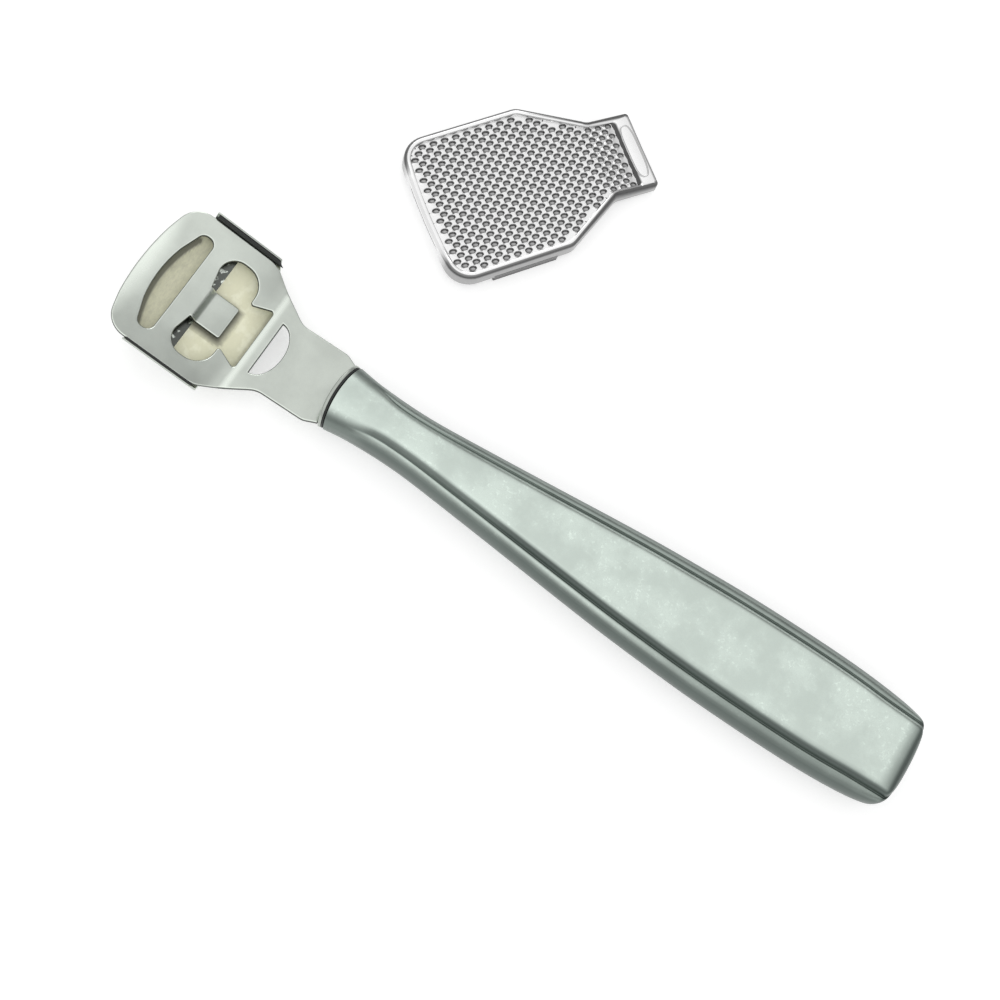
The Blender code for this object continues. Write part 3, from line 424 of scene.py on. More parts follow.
def joined(parts, layer):
    """One bmesh of several, with the layer that they carry."""
    whole = new_mesh(layer)[0]
    for part in parts:
        mesh = as_mesh("part", part)
        whole.from_mesh(mesh)
        bpy.data.meshes.remove(mesh)
    return whole


def as_mesh(name, bm):
    mesh = bpy.data.meshes.new(name)
    bm.to_mesh(mesh)
    bm.free()
    return mesh


def linked(name, data):
    """A new object in the scene."""
    made = bpy.data.objects.new(name, data)
    bpy.context.scene.collection.objects.link(made)
    return made


def piece(name, bm, maker, body, stands_for, sharp=38.0):
    """Makes the piece's object, lets it ride on its body and stand for its nodes."""
    made = linked(name, as_mesh(name, bm))
    made.data.shade_smooth()
    made.data.set_sharp_from_angle(angle=math.radians(sharp))
    made.data.materials.append(finish_of(maker))
    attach(made, body)
    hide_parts(*stands_for)
    return made


def dress_node(name, maker, round_edge=0.0):
    """Gives a frame node its finish, and rounds its edges."""
    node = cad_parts[name]
    node.data.materials.clear()
    node.data.materials.append(finish_of(maker))
    if round_edge:
        bevel = node.modifiers.new("edge", "BEVEL")
        bevel.width = round_edge
        bevel.segments = 2
        bevel.limit_method = "ANGLE"
        bevel.angle_limit = math.radians(50.0)
        bevel.harden_normals = True


# Shaders

class Wire:
    """A socket that takes part in Python sums; each sum adds its Math node."""

    def __init__(self, net, socket):
        self.net = net
        self.socket = socket

    def _sum(self, operation, first, second):
        return self.net.wire("ShaderNodeMath", 0, {"operation": operation}, {0: first, 1: second})

    def __add__(self, other):
        return self._sum("ADD", self, other)

    __radd__ = __add__

    def __sub__(self, other):
        return self._sum("SUBTRACT", self, other)

    def __rsub__(self, other):
        return self._sum("SUBTRACT", other, self)

    def __mul__(self, other):
        return self._sum("MULTIPLY", self, other)

    __rmul__ = __mul__

    def kept(self):
        """The value, held between 0 and 1."""
        return self._sum("MINIMUM", self._sum("MAXIMUM", self, 0.0), 1.0)

    def spread(self, low, high):
        """0 below low and 1 above high, smooth between them."""
        return self.net.wire("ShaderNodeMapRange", "Result", {"interpolation_type": "SMOOTHSTEP"},
                             {"Value": self, "From Min": low, "From Max": high})


class Net:
    """A node tree."""

    def __init__(self, tree):
        self.tree = tree

    def node(self, kind, settings=None, sockets=None):
        made = self.tree.nodes.new(kind)
        for key, value in (settings or {}).items():
            setattr(made, key, value)
        self.feed(made, sockets or {})
        return made

    def feed(self, node, sockets):
        """Sets the node's sockets to values or links them to wires."""
        for key, value in sockets.items():
            if isinstance(value, Wire):
                self.tree.links.new(value.socket, node.inputs[key])
            else:
                node.inputs[key].default_value = value

    def wire(self, kind, output, settings=None, sockets=None):
        """The output of a new node."""
        return Wire(self, self.node(kind, settings, sockets).outputs[output])


class Finish(Net):
    """One material, with the nodes that its surface needs."""

    def __init__(self, name):
        self.material = bpy.data.materials.new(name)
        self.material.use_nodes = True
        super().__init__(self.material.node_tree)
        self.shader = self.tree.nodes["Principled BSDF"]
        self.place = None

    def noise(self, scale, detail, roughness, stretch=None):
        self.place = self.place or self.wire("ShaderNodeTexCoord", "Object")
        place = self.place
        if stretch:
            place = self.wire("ShaderNodeMapping", 0, None, {"Vector": place, "Scale": stretch})
        return self.wire("ShaderNodeTexNoise", 0, None, {
            "Vector": place, "Scale": scale, "Detail": detail, "Roughness": roughness})

    def layer(self, name):
        """A value that the mesh carries."""
        return self.wire("ShaderNodeAttribute", "Fac", {"attribute_name": name})

    def mix(self, factor, first, second):
        """Mixes two colours, each a wire or a colour with the brightness that it is given."""
        return self.wire("ShaderNodeMix", 2, {"data_type": "RGBA"}, {
            0: factor, 6: self.shade(first), 7: self.shade(second)})

    def shade(self, value):
        if isinstance(value, Wire):
            return value
        base, bright = value
        return (*[min(channel * bright, 1.0) for channel in base[:3]], 1.0)

    def set(self, **sockets):
        """Sets the shader's own sockets; an underscore stands for a space."""
        self.feed(self.shader, {key.replace("_", " "): value for key, value in sockets.items()})

    def bump(self, height, strength, distance):
        """Bumps the surface, and hands over the finished material."""
        self.set(Normal=self.wire("ShaderNodeBump", 0, None, {
            "Height": height, "Strength": strength, "Distance": distance}))
        return self.material


def handle_steel(look):
    """Fine blasted steel: a mottled pale panel, with painted shade on its sides and in its
    grooves.
    """
    made = Finish("handle_steel_satin")
    cloud = made.noise(130.0, 5.0, 0.62)
    spots = made.noise(1500.0, 4.0, 0.65)
    grain = made.noise(7000.0, 2.0, 0.6)
    dark = made.layer("shade")
    steel, shaded = look.handle_steel, look.handle_painted_shade
    panel = made.mix(cloud.spread(0.35, 0.68), (steel, 0.90), (steel, 1.08))
    pale = spots.spread(0.54, 0.68) * cloud.spread(0.42, 0.60) * 0.75
    panel = made.mix(pale, panel, (steel, 1.30))
    panel = made.mix(grain.spread(0.45, 0.75) * 0.35, panel, (steel, 0.80))
    # Painted shade: the shade layer gives the sides this colour, and above 1 darkens the grooves
    # further
    sides = made.mix(cloud, (shaded, 0.85), (shaded, 1.15))
    groove = made.mix((dark - 1.0).kept() * 3.0, sides, (shaded, 1.0))
    made.set(Base_Color=made.mix(dark.kept(), panel, groove), Metallic=1.0,
             Roughness=(0.33 + (cloud - 0.5) * 0.10 + (grain - 0.5) * 0.10 + dark * 0.04).kept())
    return made.bump(grain + spots * 0.6, 0.16, 0.00003)


def plate_steel(look):
    """Satin sheet steel with fine lines and polished edges, with painted highlights and painted
    shade from the edge layer.
    """
    made = Finish("plate_steel_satin")
    cloud = made.noise(150.0, 5.0, 0.6)
    lines = made.noise(900.0, 3.0, 0.6, (0.12, 1.0, 1.0))
    grain = made.noise(8000.0, 2.0, 0.6)
    polish_and_painted_light = made.layer("polish_and_painted_light")
    steel = look.plate_steel
    sheet = made.mix(cloud.spread(0.33, 0.70), (steel, 0.92), (steel, 1.06))
    sheet = made.mix(grain.spread(0.45, 0.75) * 0.3, sheet, (steel, 0.80))
    # Painted highlight where the edge layer is above 0, painted shade where it is below 0
    sheet = made.mix(polish_and_painted_light.kept() * 0.85, sheet, (steel, 1.75))
    sheet = made.mix((0.0 - polish_and_painted_light).kept() * 1.25, sheet, (steel, 0.12))
    made.set(Base_Color=sheet, Metallic=1.0,
             Roughness=(0.36 + (lines - 0.5) * 0.10 + (cloud - 0.5) * 0.08 - polish_and_painted_light * 0.16).kept())
    return made.bump(grain * 0.7 + lines, 0.12, 0.00002)


def blade_steel(look):
    """Ground steel at a fifth of the plate's brightness, with a few painted glints."""
    made = Finish("blade_steel_ground")
    lines = made.noise(1500.0, 3.0, 0.6, (1.0, 0.06, 1.0))
    painted_glint = made.noise(1100.0, 2.0, 0.5)
    steel = look.plate_steel
    made.set(Base_Color=made.mix(painted_glint.spread(0.56, 0.66), (steel, 0.20), (steel, 1.3)),
             Metallic=1.0, Roughness=(0.24 + (lines - 0.5) * 0.2).kept())
    return made.bump(lines, 0.15, 0.00002)


def chrome(look):
    """Polished plate, with painted shade in the holes between the teeth and on the rim, wall and
    tabs.
    """
    made = Finish("rasp_chrome")
    cloud = made.noise(240.0, 4.0, 0.6)
    fine = made.noise(5000.0, 2.0, 0.6)
    hole = made.layer("hole")
    bright = made.mix(cloud, (look.chrome, 0.94), (look.chrome, 1.06))
    # Painted shade where the hole layer is above 0, darker still above 1
    shaded = made.mix((hole - 1.0).kept() * 2.0, (look.chrome_painted_shade, 1.0), (look.chrome_painted_shade, 0.12))
    made.set(Base_Color=made.mix(hole.kept(), bright, shaded), Metallic=1.0,
             Roughness=(0.13 + (fine - 0.5) * 0.08 + (cloud - 0.5) * 0.05 + hole * 0.2).kept())
    return made.bump(fine, 0.05, 0.00002)


def waxed_paper(look):
    """Cream waxed paper with fibres and a few darker stains, its flap painted paler as lit, and
    painted shadows.
    """
    made = Finish("waxed_paper_cream")
    fibres = made.noise(1900.0, 5.0, 0.75, (1.0, 0.5, 1.0))
    stain = made.noise(190.0, 4.0, 0.6)
    patch = made.noise(520.0, 3.0, 0.55)
    shadow = made.layer("shadow")
    paper = look.paper
    body = made.mix(fibres.spread(0.3, 0.7), (paper, 0.90), (paper, 1.08))
    wear_and_painted_light = made.mix(stain.spread(0.52, 0.72) * 0.55, body, (paper, 0.66))
    pale = made.mix(patch.spread(0.45, 0.65), (paper, 1.28), (paper, 1.55))
    # Painted light: the flap in the window is painted paler
    wear_and_painted_light = made.mix((0.0 - shadow).kept() * 0.75, wear_and_painted_light, pale)
    # Painted shadow from the tongue and from the slot's front edge
    wear_and_painted_light = made.mix((shadow * 1.3).kept() * 0.8, wear_and_painted_light, (paper, 0.12))
    made.set(Base_Color=wear_and_painted_light, Metallic=0.0, Coat_Weight=(0.18 + stain * 0.2).kept(),
             Coat_Roughness=0.3, Roughness=(0.5 + (fibres - 0.5) * 0.25).kept())
    return made.bump(fibres, 0.2, 0.00003)


def black_rubber(look):
    made = Finish("black_rubber_matt")
    grain = made.noise(5200.0, 3.0, 0.6)
    dust = made.noise(420.0, 4.0, 0.7)
    made.set(Base_Color=made.mix(dust.spread(0.5, 0.8) * 0.5, (look.rubber, 1.0),
                                 (look.rubber, 2.6)),
             Metallic=0.0, Roughness=(0.5 + (grain - 0.5) * 0.3).kept())
    return made.bump(grain, 0.25, 0.00003)


def cast_resin(look):
    made = Finish("plug_resin_cast")
    cloud = made.noise(500.0, 4.0, 0.6)
    made.set(Base_Color=made.mix(cloud, (look.resin, 0.85), (look.resin, 1.15)),
             Metallic=0.0, Roughness=(0.55 + (cloud - 0.5) * 0.2).kept())
    return made.bump(cloud, 0.2, 0.00005)


FINISHED = {}


def finish_of(maker):
    """The material of a maker, made once."""
    if maker not in FINISHED:
        FINISHED[maker] = maker(bpy.context.scene.shaver_finishes)
    return FINISHED[maker]


# Handle

def half_width_at(sizes, x):
    return sizes.half_width * blend_table(HANDLE_WIDTHS, x / sizes.length)


def half_thickness_at(sizes, x):
    past = x - (sizes.length - sizes.tail_edge)
    if past <= 0:
        return sizes.half_thickness
    return (sizes.half_thickness - sizes.tail_edge
            + math.sqrt(max(sizes.tail_edge**2 - past**2, 0.0)))


def groove_cut(sizes, x):
    """How deep the groove is cut at x, as a share of its full depth."""
    return (smooth_step((x - sizes.groove_start) / sizes.groove_fade)
            * smooth_step((sizes.length - x) / sizes.tail_fade))


def groove_place(sizes, x):
    """The groove's distance from the middle line: it follows the side, then runs straight on."""
    start_out, start_reach, turn_at, lean = 0.0007, 0.0060, 0.80, 0.035
    wide = half_width_at(sizes, x)
    beside = wide - sizes.groove_inset + sizes.groove_draw * (1 - wide / sizes.half_width)
    beside += start_out * (1 - smooth_step((x - sizes.groove_start) / start_reach))
    past = x - turn_at * sizes.length
    if past <= 0:
        return beside
    straight = sizes.half_width - sizes.groove_inset - lean * past
    return max(wide - sizes.groove_inset, min(straight, wide - sizes.tail_room))


def handle_quarter(sizes, x, low):
    """A quarter of the section from side to middle line, as (y, z, painted shade).

    The side towards -Y, low in the picture, has a painted pale lip and a wide flank of painted
    shade; the side towards +Y has a darker painted lip.
    """
    wide, thick = half_width_at(sizes, x), half_thickness_at(sizes, x)
    groove = groove_place(sizes, x)
    roll = sizes.roll_share * (wide - groove)
    lip, panel = thick - sizes.panel_step, groove - sizes.panel_flank
    # The band of painted shade on the low side grows from 0.3 to 0.8 of the length
    wide_band = smooth_step((x / sizes.length - 0.3) / 0.5)
    least = 0.75 * wide_band if low else 0.65
    # Each place of the section with the share of the groove's depth that is carved there
    formed = [(wide - a * roll, b * lip, 0.0) for a, b, _ in ROLL_PROFILE]
    formed += [
        (groove + 0.00020, lip, 0.15), (groove + 0.00006, lip, 0.85),
        (groove - 0.00004, lip, 1.0), (groove - 0.00016, lip + 0.00006, 0.9),
        (panel + 0.00050, (lip + thick) / 2, 0.0), (panel + 0.00022, thick - 0.00028, 0.0),
        (panel, thick - 0.00010, 0.0), (panel - 0.00035, thick, 0.0),
        (panel - 0.00070, thick, 0.0), (panel * 0.6, thick, 0.0), (panel * 0.25, thick, 0.0),
        (0.0, thick, 0.0),
    ]
    # Painted light and shade that differ between the sides: a pale lip on the low side, a dark lip
    # on the high side
    tones = [max(dark, least) for *_, dark in ROLL_PROFILE]
    tones += ([0.25, 0.9, 1.2, 1.0, 1.05, 1.0, 0.45 + 0.4 * wide_band, 0.35 * wide_band] if low
              else [0.65, 0.75, 1.05, 0.8, 0.5, 0.25, 0.1, 0.0])
    tones += [0.0] * 4
    deep = groove_cut(sizes, x)
    mix = deep * math.sqrt(smooth_step((x - sizes.groove_start) / sizes.step_fade))
    lit = max(mix, deep * 0.8)
    # Painted shade on the tail's round edge
    end = smooth_step((x - sizes.length + 1.5 * sizes.tail_edge) / sizes.tail_edge)
    power = sizes.section_power
    quarter = [(wide, 0.0, 1.0)]
    for (y, z, carved), dark in zip(formed, tones):
        share = y / wide
        plain = thick * max(1 - share**power, 0.0) ** (1 / power)
        # Painted shade where the plain section slopes towards the side
        slope = 0.85 * smooth_step((share - 0.5) / 0.32)
        shade = (1 - lit) * slope + lit * dark
        height = (1 - mix) * plain + mix * z - deep * carved * sizes.groove_depth
        quarter.append((y, height, max(shade, 1.12 * end)))
    return quarter


def mouth_bow(sizes, x, y):
    """How far the bowed mouth lies behind its middle, fading out along the handle."""
    fade = max(1 - x / sizes.bow_reach, 0.0)
    return sizes.mouth_bow * fade * (y / half_width_at(sizes, 0.0)) ** 2


def handle_mesh(sizes):
    bm, shade = new_mesh("shade")
    tail = sizes.length - sizes.tail_edge
    places = [0.0, 0.00003, 0.00012]
    places += [tail * k / sizes.stations for k in range(1, sizes.stations)]
    places += [tail + sizes.tail_edge * math.sin(math.pi / 2 * k / 10) for k in range(10)]
    places.append(sizes.length - 0.00001)
    rings = []
    for x in places:
        low = handle_quarter(sizes, x, True)
        upper = handle_quarter(sizes, x, False) + [(-y, z, d) for y, z, d in reversed(low[:-1])]
        whole = upper + [(y, -z, d) for y, z, d in reversed(upper[1:-1])]
        rings.append([add_vert(bm, (x + mouth_bow(sizes, x, y), y, z), shade, dark)
                      for y, z, dark in whole])
    skin(bm, rings)
    for ring in (rings[0], rings[-1]):
        hub = bm.verts.new(sum((v.co for v in ring), Vector()) / len(ring))
        for k, vert in enumerate(ring):
            bm.faces.new((vert, ring[(k + 1) % len(ring)], hub))
    return moved(bm, MOUTH_X, 0.0, LEVEL)


class SHAVER_OT_handle(Operator):
    """Makes the hollow handle as one smooth skin over its two pressed halves"""

    bl_idname = "shaver.handle"
    bl_label = "Handle"

    def execute(self, context):
        made = piece("handle_skin", turned_out(handle_mesh(context.scene.shaver_handle)),
                     handle_steel, "handle",
                     ("handle_top_shell", "handle_bottom_shell"), 80.0)
        smooth = made.modifiers.new("smooth", "SUBSURF")
        smooth.levels = smooth.render_levels = 1
        return {"FINISHED"}


def mouth_ring(sizes, low, thickness, edge, inset):
    """A ring across the handle's mouth, slotted for the tang and bowed with the mouth."""
    power = 2 / sizes.section_power
    oval = squared_oval(half_width_at(sizes, 0.0) - inset, sizes.half_thickness - inset,
                        power, power, 96)
    side, rise = TANG_SIDE + FIT, TANG_RISE + FIT
    slot = [Vector(p) for p in ((side, rise), (-side, rise), (-side, -rise), (side, -rise))]
    bm = edged_sheet([oval, slot], thickness, edge, 0.15)
    stand_across(bm)
    cut_across(bm, ACROSS, (-0.0052, 0.0052, 0.0008))
    moved(bm, low.x + thickness / 2, 0.0, LEVEL)
    for vert in bm.verts:
        vert.co.x += mouth_bow(sizes, 0.0, vert.co.y)
    return turned_out(bm)


class SHAVER_OT_collar(Operator):
    """Makes the steel ring and the black seal at the handle's mouth, and dresses the plug"""

    bl_idname = "shaver.collar"
    bl_label = "Collar"

    def execute(self, context):
        sizes = context.scene.shaver_handle
        ring = mouth_ring(sizes, COLLAR_LOW, sizes.collar_thickness, 0.00014, 0.0)
        piece("collar_form", ring, plate_steel, "handle", ("collar_ring",))
        ring = mouth_ring(sizes, SEAL_LOW, sizes.seal_thickness, 0.00006, 0.00010)
        piece("seal_form", ring, black_rubber, "handle", ("collar_seal",))
        dress_node("tang_plug", cast_resin)
        return {"FINISHED"}


# Head plate

def arch_lift(sizes, x, y):
    """How far the arched sheet lies above its middle line, at x from the crease."""
    along = smooth_step((ARCH_START - x) / ARCH_REACH)
    return sizes.arch_lift * along * (y / sizes.half_width) ** 2


def arch(bm, sizes):
    cut_across(bm, ACROSS, (-0.0122, 0.0122, 0.0007))
    cut_across(bm, ALONG, (ARCH_START - ARCH_REACH, ARCH_START, 0.0004))
    for vert in bm.verts:
        vert.co.z += arch_lift(sizes, vert.co.x, vert.co.y)


def head_matrix(sizes):
    """Places the head's frame: at the crease, with its tip pitched up."""
    return Matrix.Translation((CREASE_X, 0.0, LEVEL)) @ Matrix.Rotation(sizes.pitch, 4, "Y")


def plate_outline(sizes):
    neck_side = 0.0069
    collar_at = COLLAR_LOW.x - CREASE_X
    tang_end = PLATE_HIGH.x - CREASE_X
    return rounded(bulged_edge(sizes.length, sizes.half_width, TIP_BULGE) + [
        (-sizes.length + TIP_BULGE, sizes.half_width, 0.0042),
        (-0.0046, sizes.half_width, 0.0050),
        (0.0046, neck_side, 0.0040),
        (collar_at - 0.0016, neck_side, 0.0030),
        (collar_at + 0.00074, 0.0059, 0),
        (collar_at + 0.00050, 0.0049, 0),
        (collar_at + 0.00026, TANG_SIDE, 0),
        (tang_end, TANG_SIDE, 0.0010),
        (tang_end, 0.0, 0),
    ])


def past_line(sizes, x, y, reach):
    """How far a place lies past the bulged line that runs at a reach behind the tip."""
    return -x - sizes.length + reach - TIP_BULGE * (y / sizes.half_width) ** 2


def plate_painted_light(sizes, x, y):
    """Painted light on the flat of the plate: painted highlights at the tip and along the crease,
    painted shade on the low side and the head's rear.
    """
    tip = smooth_step(past_line(sizes, x, y, SHINE_REACH) / SHINE_REACH)
    head = smooth_step((-x - 0.0010) / 0.0020)
    low = smooth_step((-y - 0.0030) / 0.0070) * head * (1 - tip)
    behind = smooth_step((x + 0.0100) / 0.0040) * head
    crease = smooth_step(1 - abs(x) / 0.0010)
    return 0.08 + 0.8 * tip - 0.17 * low - 0.12 * behind * (1 - low) + 0.6 * crease


def slot_outline(sizes):
    front = sizes.length - SLOT_FROM_TIP
    back = -front + 0.0046
    return rounded(bulged_edge(front, SLOT_SIDE, SLOT_BULGE) + [
        (-front + SLOT_BULGE, SLOT_SIDE, 0.0013), (back, SLOT_SIDE, 0.0013), (back, 0.0, 0)])


def window_outline():
    side, waist, back = 0.0094, -0.0046, -0.0005
    return rounded([
        (TONGUE_TIP, 0.0, 0), (TONGUE_TIP, TONGUE_SIDE, 0.0004), (TONGUE_ROOT, TONGUE_SIDE, 0),
        (-0.0119, 0.0062, 0), (-0.0119, side, 0.0029), (waist, side, 0.0036),
        (waist, 0.0044, 0.0005), (back, 0.0061, 0.0005), (back, 0.0, 0),
    ])


def thumb_outline():
    front, length, side = 0.0018, 0.0032, 0.0051
    outline = [Vector((front, 0.0))]
    for k in range(2 * ARC_STEPS):
        angle = math.pi / 2 * (1 - k / (2 * ARC_STEPS))
        outline.append(Vector((front + length * math.cos(angle), side * math.sin(angle))))
    outline.append(Vector((front + length, 0.0)))
    return both_sides(outline)


def plate_mesh(sizes):
    """The plate: cut fine enough to bend, arched, its tongue sprung down, its neck bent level."""
    loops = [plate_outline(sizes), slot_outline(sizes), window_outline(), thumb_outline()]
    bm = edged_sheet(loops, sizes.plate_thickness, sizes.plate_edge)
    bend = 0.0008
    cut_across(bm, ALONG, (TONGUE_ROOT, TONGUE_ROOT + TONGUE_BEND, 0.0002), (-bend, bend, 0.0002),
               (-sizes.length + 0.0004, -sizes.length + 0.0064, 0.0004),
               (-0.0160, 0.0160, 0.0010))
    arch(bm, sizes)
    polish_and_painted_light = bm.verts.layers.float["polish_and_painted_light"]
    # The tongue comes down to 0.1 mm above the paper
    drop = sizes.throat - 0.0001
    for vert in bm.verts:
        x, y = vert.co.x, vert.co.y
        # The flat of the plate takes its painted highlights and painted shade
        if 0.0 <= vert[polish_and_painted_light] < 0.15:
            vert[polish_and_painted_light] = plate_painted_light(sizes, x, y)
        curl = max(past_line(sizes, x, y, CURL_REACH), 0.0) / CURL_REACH
        vert.co.z -= sizes.tip_drop * curl**2
        if abs(y) < TONGUE_SIDE + WELD and TONGUE_ROOT < x < TONGUE_TIP + WELD:
            vert.co.z -= drop * smooth_step((x - TONGUE_ROOT) / TONGUE_BEND)
        if x < -bend:
            vert.co = Matrix.Rotation(sizes.pitch, 3, "Y") @ vert.co
        elif x < bend:
            share = (bend - x) / (2 * bend)
            vert.co.z += math.tan(sizes.pitch) * bend * share * share
    return turned_out(moved(bm, CREASE_X, 0.0, LEVEL))


class SHAVER_OT_head_plate(Operator):
    """Makes the arched head plate with its slot, window, spring tongue and thumb hole"""

    bl_idname = "shaver.head_plate"
    bl_label = "Head plate"

    def execute(self, context):
        piece("head_plate_form", plate_mesh(context.scene.shaver_head), plate_steel, "handle",
              ("head_plate",))
        for name in ("hinge_bracket", "hinge_pin"):
            dress_node(name, plate_steel, 0.00008)
        return {"FINISHED"}


# Sole with its wings, pads, blade and wrapper

def stack_levels(sizes):
    """Levels under the plate in the head's frame: paper top, blade top, sole top."""
    paper_top = -sizes.plate_thickness / 2 - sizes.throat
    blade_top = paper_top - sizes.paper - FIT
    sole_top = blade_top - BLADE_THICKNESS - FIT - sizes.paper - FIT
    return paper_top, blade_top, sole_top


def wing_point(sizes, share, out):
    """A place on the wing's inner face: share of its rise, and a step outwards from it."""
    low = Vector((WING_FOOT, stack_levels(sizes)[2] + arch_lift(sizes, WING_FRONT, WING_FOOT)))
    rise = Vector(WING_TOP) - low
    return low + rise * share + Vector((rise.y, -rise.x)).normalized() * out


def wing_strip(points, front, back, edge):
    """A bar with a section given as (y, z), drawn out along X, its upper ends drawn in."""
    bm = edged_sheet([points], back - front, edge, 0.0)
    stand_across(bm)
    heights = [vert.co.z for vert in bm.verts]
    low, high = min(heights), max(heights)
    for vert in bm.verts:
        part = (vert.co.z - low) / (high - low)
        vert.co.x += part * (0.0001 if vert.co.x < 0 else -0.0013)
        vert.co.x += (front + back) / 2
    return bm


def wing_section(sizes):
    sole_top = stack_levels(sizes)[2]
    sole_bottom = sole_top - sizes.sole_thickness
    root = 0.0108
    lift = arch_lift(sizes, WING_FRONT, root)
    knee = sole_bottom + arch_lift(sizes, WING_FRONT, WING_FOOT)
    return round_corners([
        (root, sole_top + lift, 0), (*wing_point(sizes, 0.0, 0.0), 0.0003),
        (*wing_point(sizes, 1.0, 0.0), 0.0001),
        (*wing_point(sizes, 1.0, WING_THICKNESS), 0.0001),
        (wing_point(sizes, 0.0, WING_THICKNESS).x, knee, 0.0005), (root, sole_bottom + lift, 0),
    ], closed=True)


def pad_section(sizes):
    """A wedge that fills the wing's flare and passes the plate's edge upright."""
    gap = 0.00006
    bottom, top = wing_point(sizes, 0.67, -gap), wing_point(sizes, 0.975, -gap)
    face = sizes.half_width + gap
    return round_corners([(face, bottom.y, 0.00002), (face, top.y, 0.0001), (*top, 0.00008),
                          (*bottom, 0.00002)], closed=True)


def sole_sheet(sizes):
    front, side, neck_side, end = sizes.length - 0.0006, 0.0119, 0.0052, 0.0006
    outline = rounded(bulged_edge(front, side, TIP_BULGE) + [
        (-front + TIP_BULGE, side, 0.0040), (-0.0052, side, 0.0025),
        (-0.0016, neck_side, 0.0010), (end, neck_side, 0), (end, 0.0, 0)])
    front = MOUTH_FRONT_FROM_TIP - sizes.length
    back = front + MOUTH_LENGTH
    mouth = rounded([(front, 0.0, 0), (front, MOUTH_SIDE, 0.0012), (back, MOUTH_SIDE, 0.0012),
                     (back, 0.0, 0)])
    bm = edged_sheet([outline, mouth], sizes.sole_thickness, 0.00012)
    moved(bm, 0.0, 0.0, stack_levels(sizes)[2] - sizes.sole_thickness / 2)
    arch(bm, sizes)
    return bm


def barrel_tube():
    """The rolled barrel of the sole round the hinge pin."""
    ring = [Vector((BARREL_RADIUS * c, BARREL_RADIUS * s)) for c, s in circle(40)]
    bore = [Vector((p.x * 0.55, p.y * 0.55)) for p in ring]
    bm = edged_sheet([ring, bore], BARREL_LENGTH, 0.0001)
    bm.transform(Matrix.Translation(BARREL_PLACE) @ Matrix.Rotation(math.pi / 2, 4, "X"))
    return bm


class SHAVER_OT_sole(Operator):
    """Makes the hinged sole with its barrel and side wings, and the black pads in the wings"""

    bl_idname = "shaver.sole"
    bl_label = "Sole and pads"

    def execute(self, context):
        sizes = context.scene.shaver_head
        wings = [wing_strip(wing_section(sizes), WING_FRONT, WING_BACK, 0.00008)
                 for _ in range(2)]
        bm = joined([sole_sheet(sizes), barrel_tube(), wings[0], mirrored(wings[1])], "polish_and_painted_light")
        bm.transform(head_matrix(sizes))
        piece("sole_form", turned_out(bm), plate_steel, "sole", ("sole_plate",))
        ends = WING_FRONT + 0.0004, WING_BACK - 0.0004
        for side in ("left", "right"):
            bm = wing_strip(pad_section(sizes), *ends, 0.00002)
            bm = mirrored(bm) if side == "right" else bm
            bm.transform(head_matrix(sizes))
            piece(f"pad_{side}_form", turned_out(bm), black_rubber, "sole",
                  (f"side_pad_{side}",))
        return {"FINISHED"}


def tongue_shadow(x, y):
    """Painted shadow on the paper behind the tongue's tip and beside it, and its flap painted
    paler as lit.
    """
    past = max(x - TONGUE_TIP + 0.0002, TONGUE_ROOT + 0.0004 - x, 0.0)
    below = max(-TONGUE_SIDE - y, 0.0)
    above = max(y - TONGUE_SIDE + 0.0002, 0.0)
    near = max(1 - math.hypot(past, below) / 0.0013, 0.0) * max(1 - above / 0.0004, 0.0)
    flap = smooth_step((x + 0.0130) / 0.0004) * smooth_step((-0.0008 - x) / 0.0002)
    return near if near > 0 else -flap


def slot_shadow(sizes, x, y):
    """The painted shadow line on the paper along the front edge of the plate's slot."""
    if x > -0.0150:
        return -1.0
    edge = -sizes.length + SLOT_FROM_TIP + SLOT_BULGE * min(abs(y) / SLOT_SIDE, 1.0) ** 2
    return 1.3 * smooth_step((edge + 0.0009 - x) / 0.0006) if abs(y) < SLOT_SIDE else 0.0


def sleeve_loop(sizes, inset):
    """The sleeve's face drawn in by an inset, from the open fold on its top round its ends."""
    paper_top, blade_top, _ = stack_levels(sizes)
    top = paper_top - inset
    bottom = blade_top - BLADE_THICKNESS - FIT - sizes.paper + inset
    middle, fold = (top + bottom) / 2, (top - bottom) / 2
    turns = [(math.cos(math.pi * k / 12), math.sin(math.pi * k / 12)) for k in range(13)]
    loop = [Vector((FOLD_OPEN[1], top))]
    for c, s in turns:
        flap = 0.0006 * max(c, 0.0)
        loop.append(Vector((SLEEVE_BACK + flap - inset - 0.3 * fold * (1 - s), middle + fold * c)))
    for c, s in turns:
        loop.append(Vector((SLEEVE_FROM_TIP - sizes.length + inset + fold * (1 - s),
                            middle - fold * c)))
    return loop + [Vector((FOLD_OPEN[0], top))]


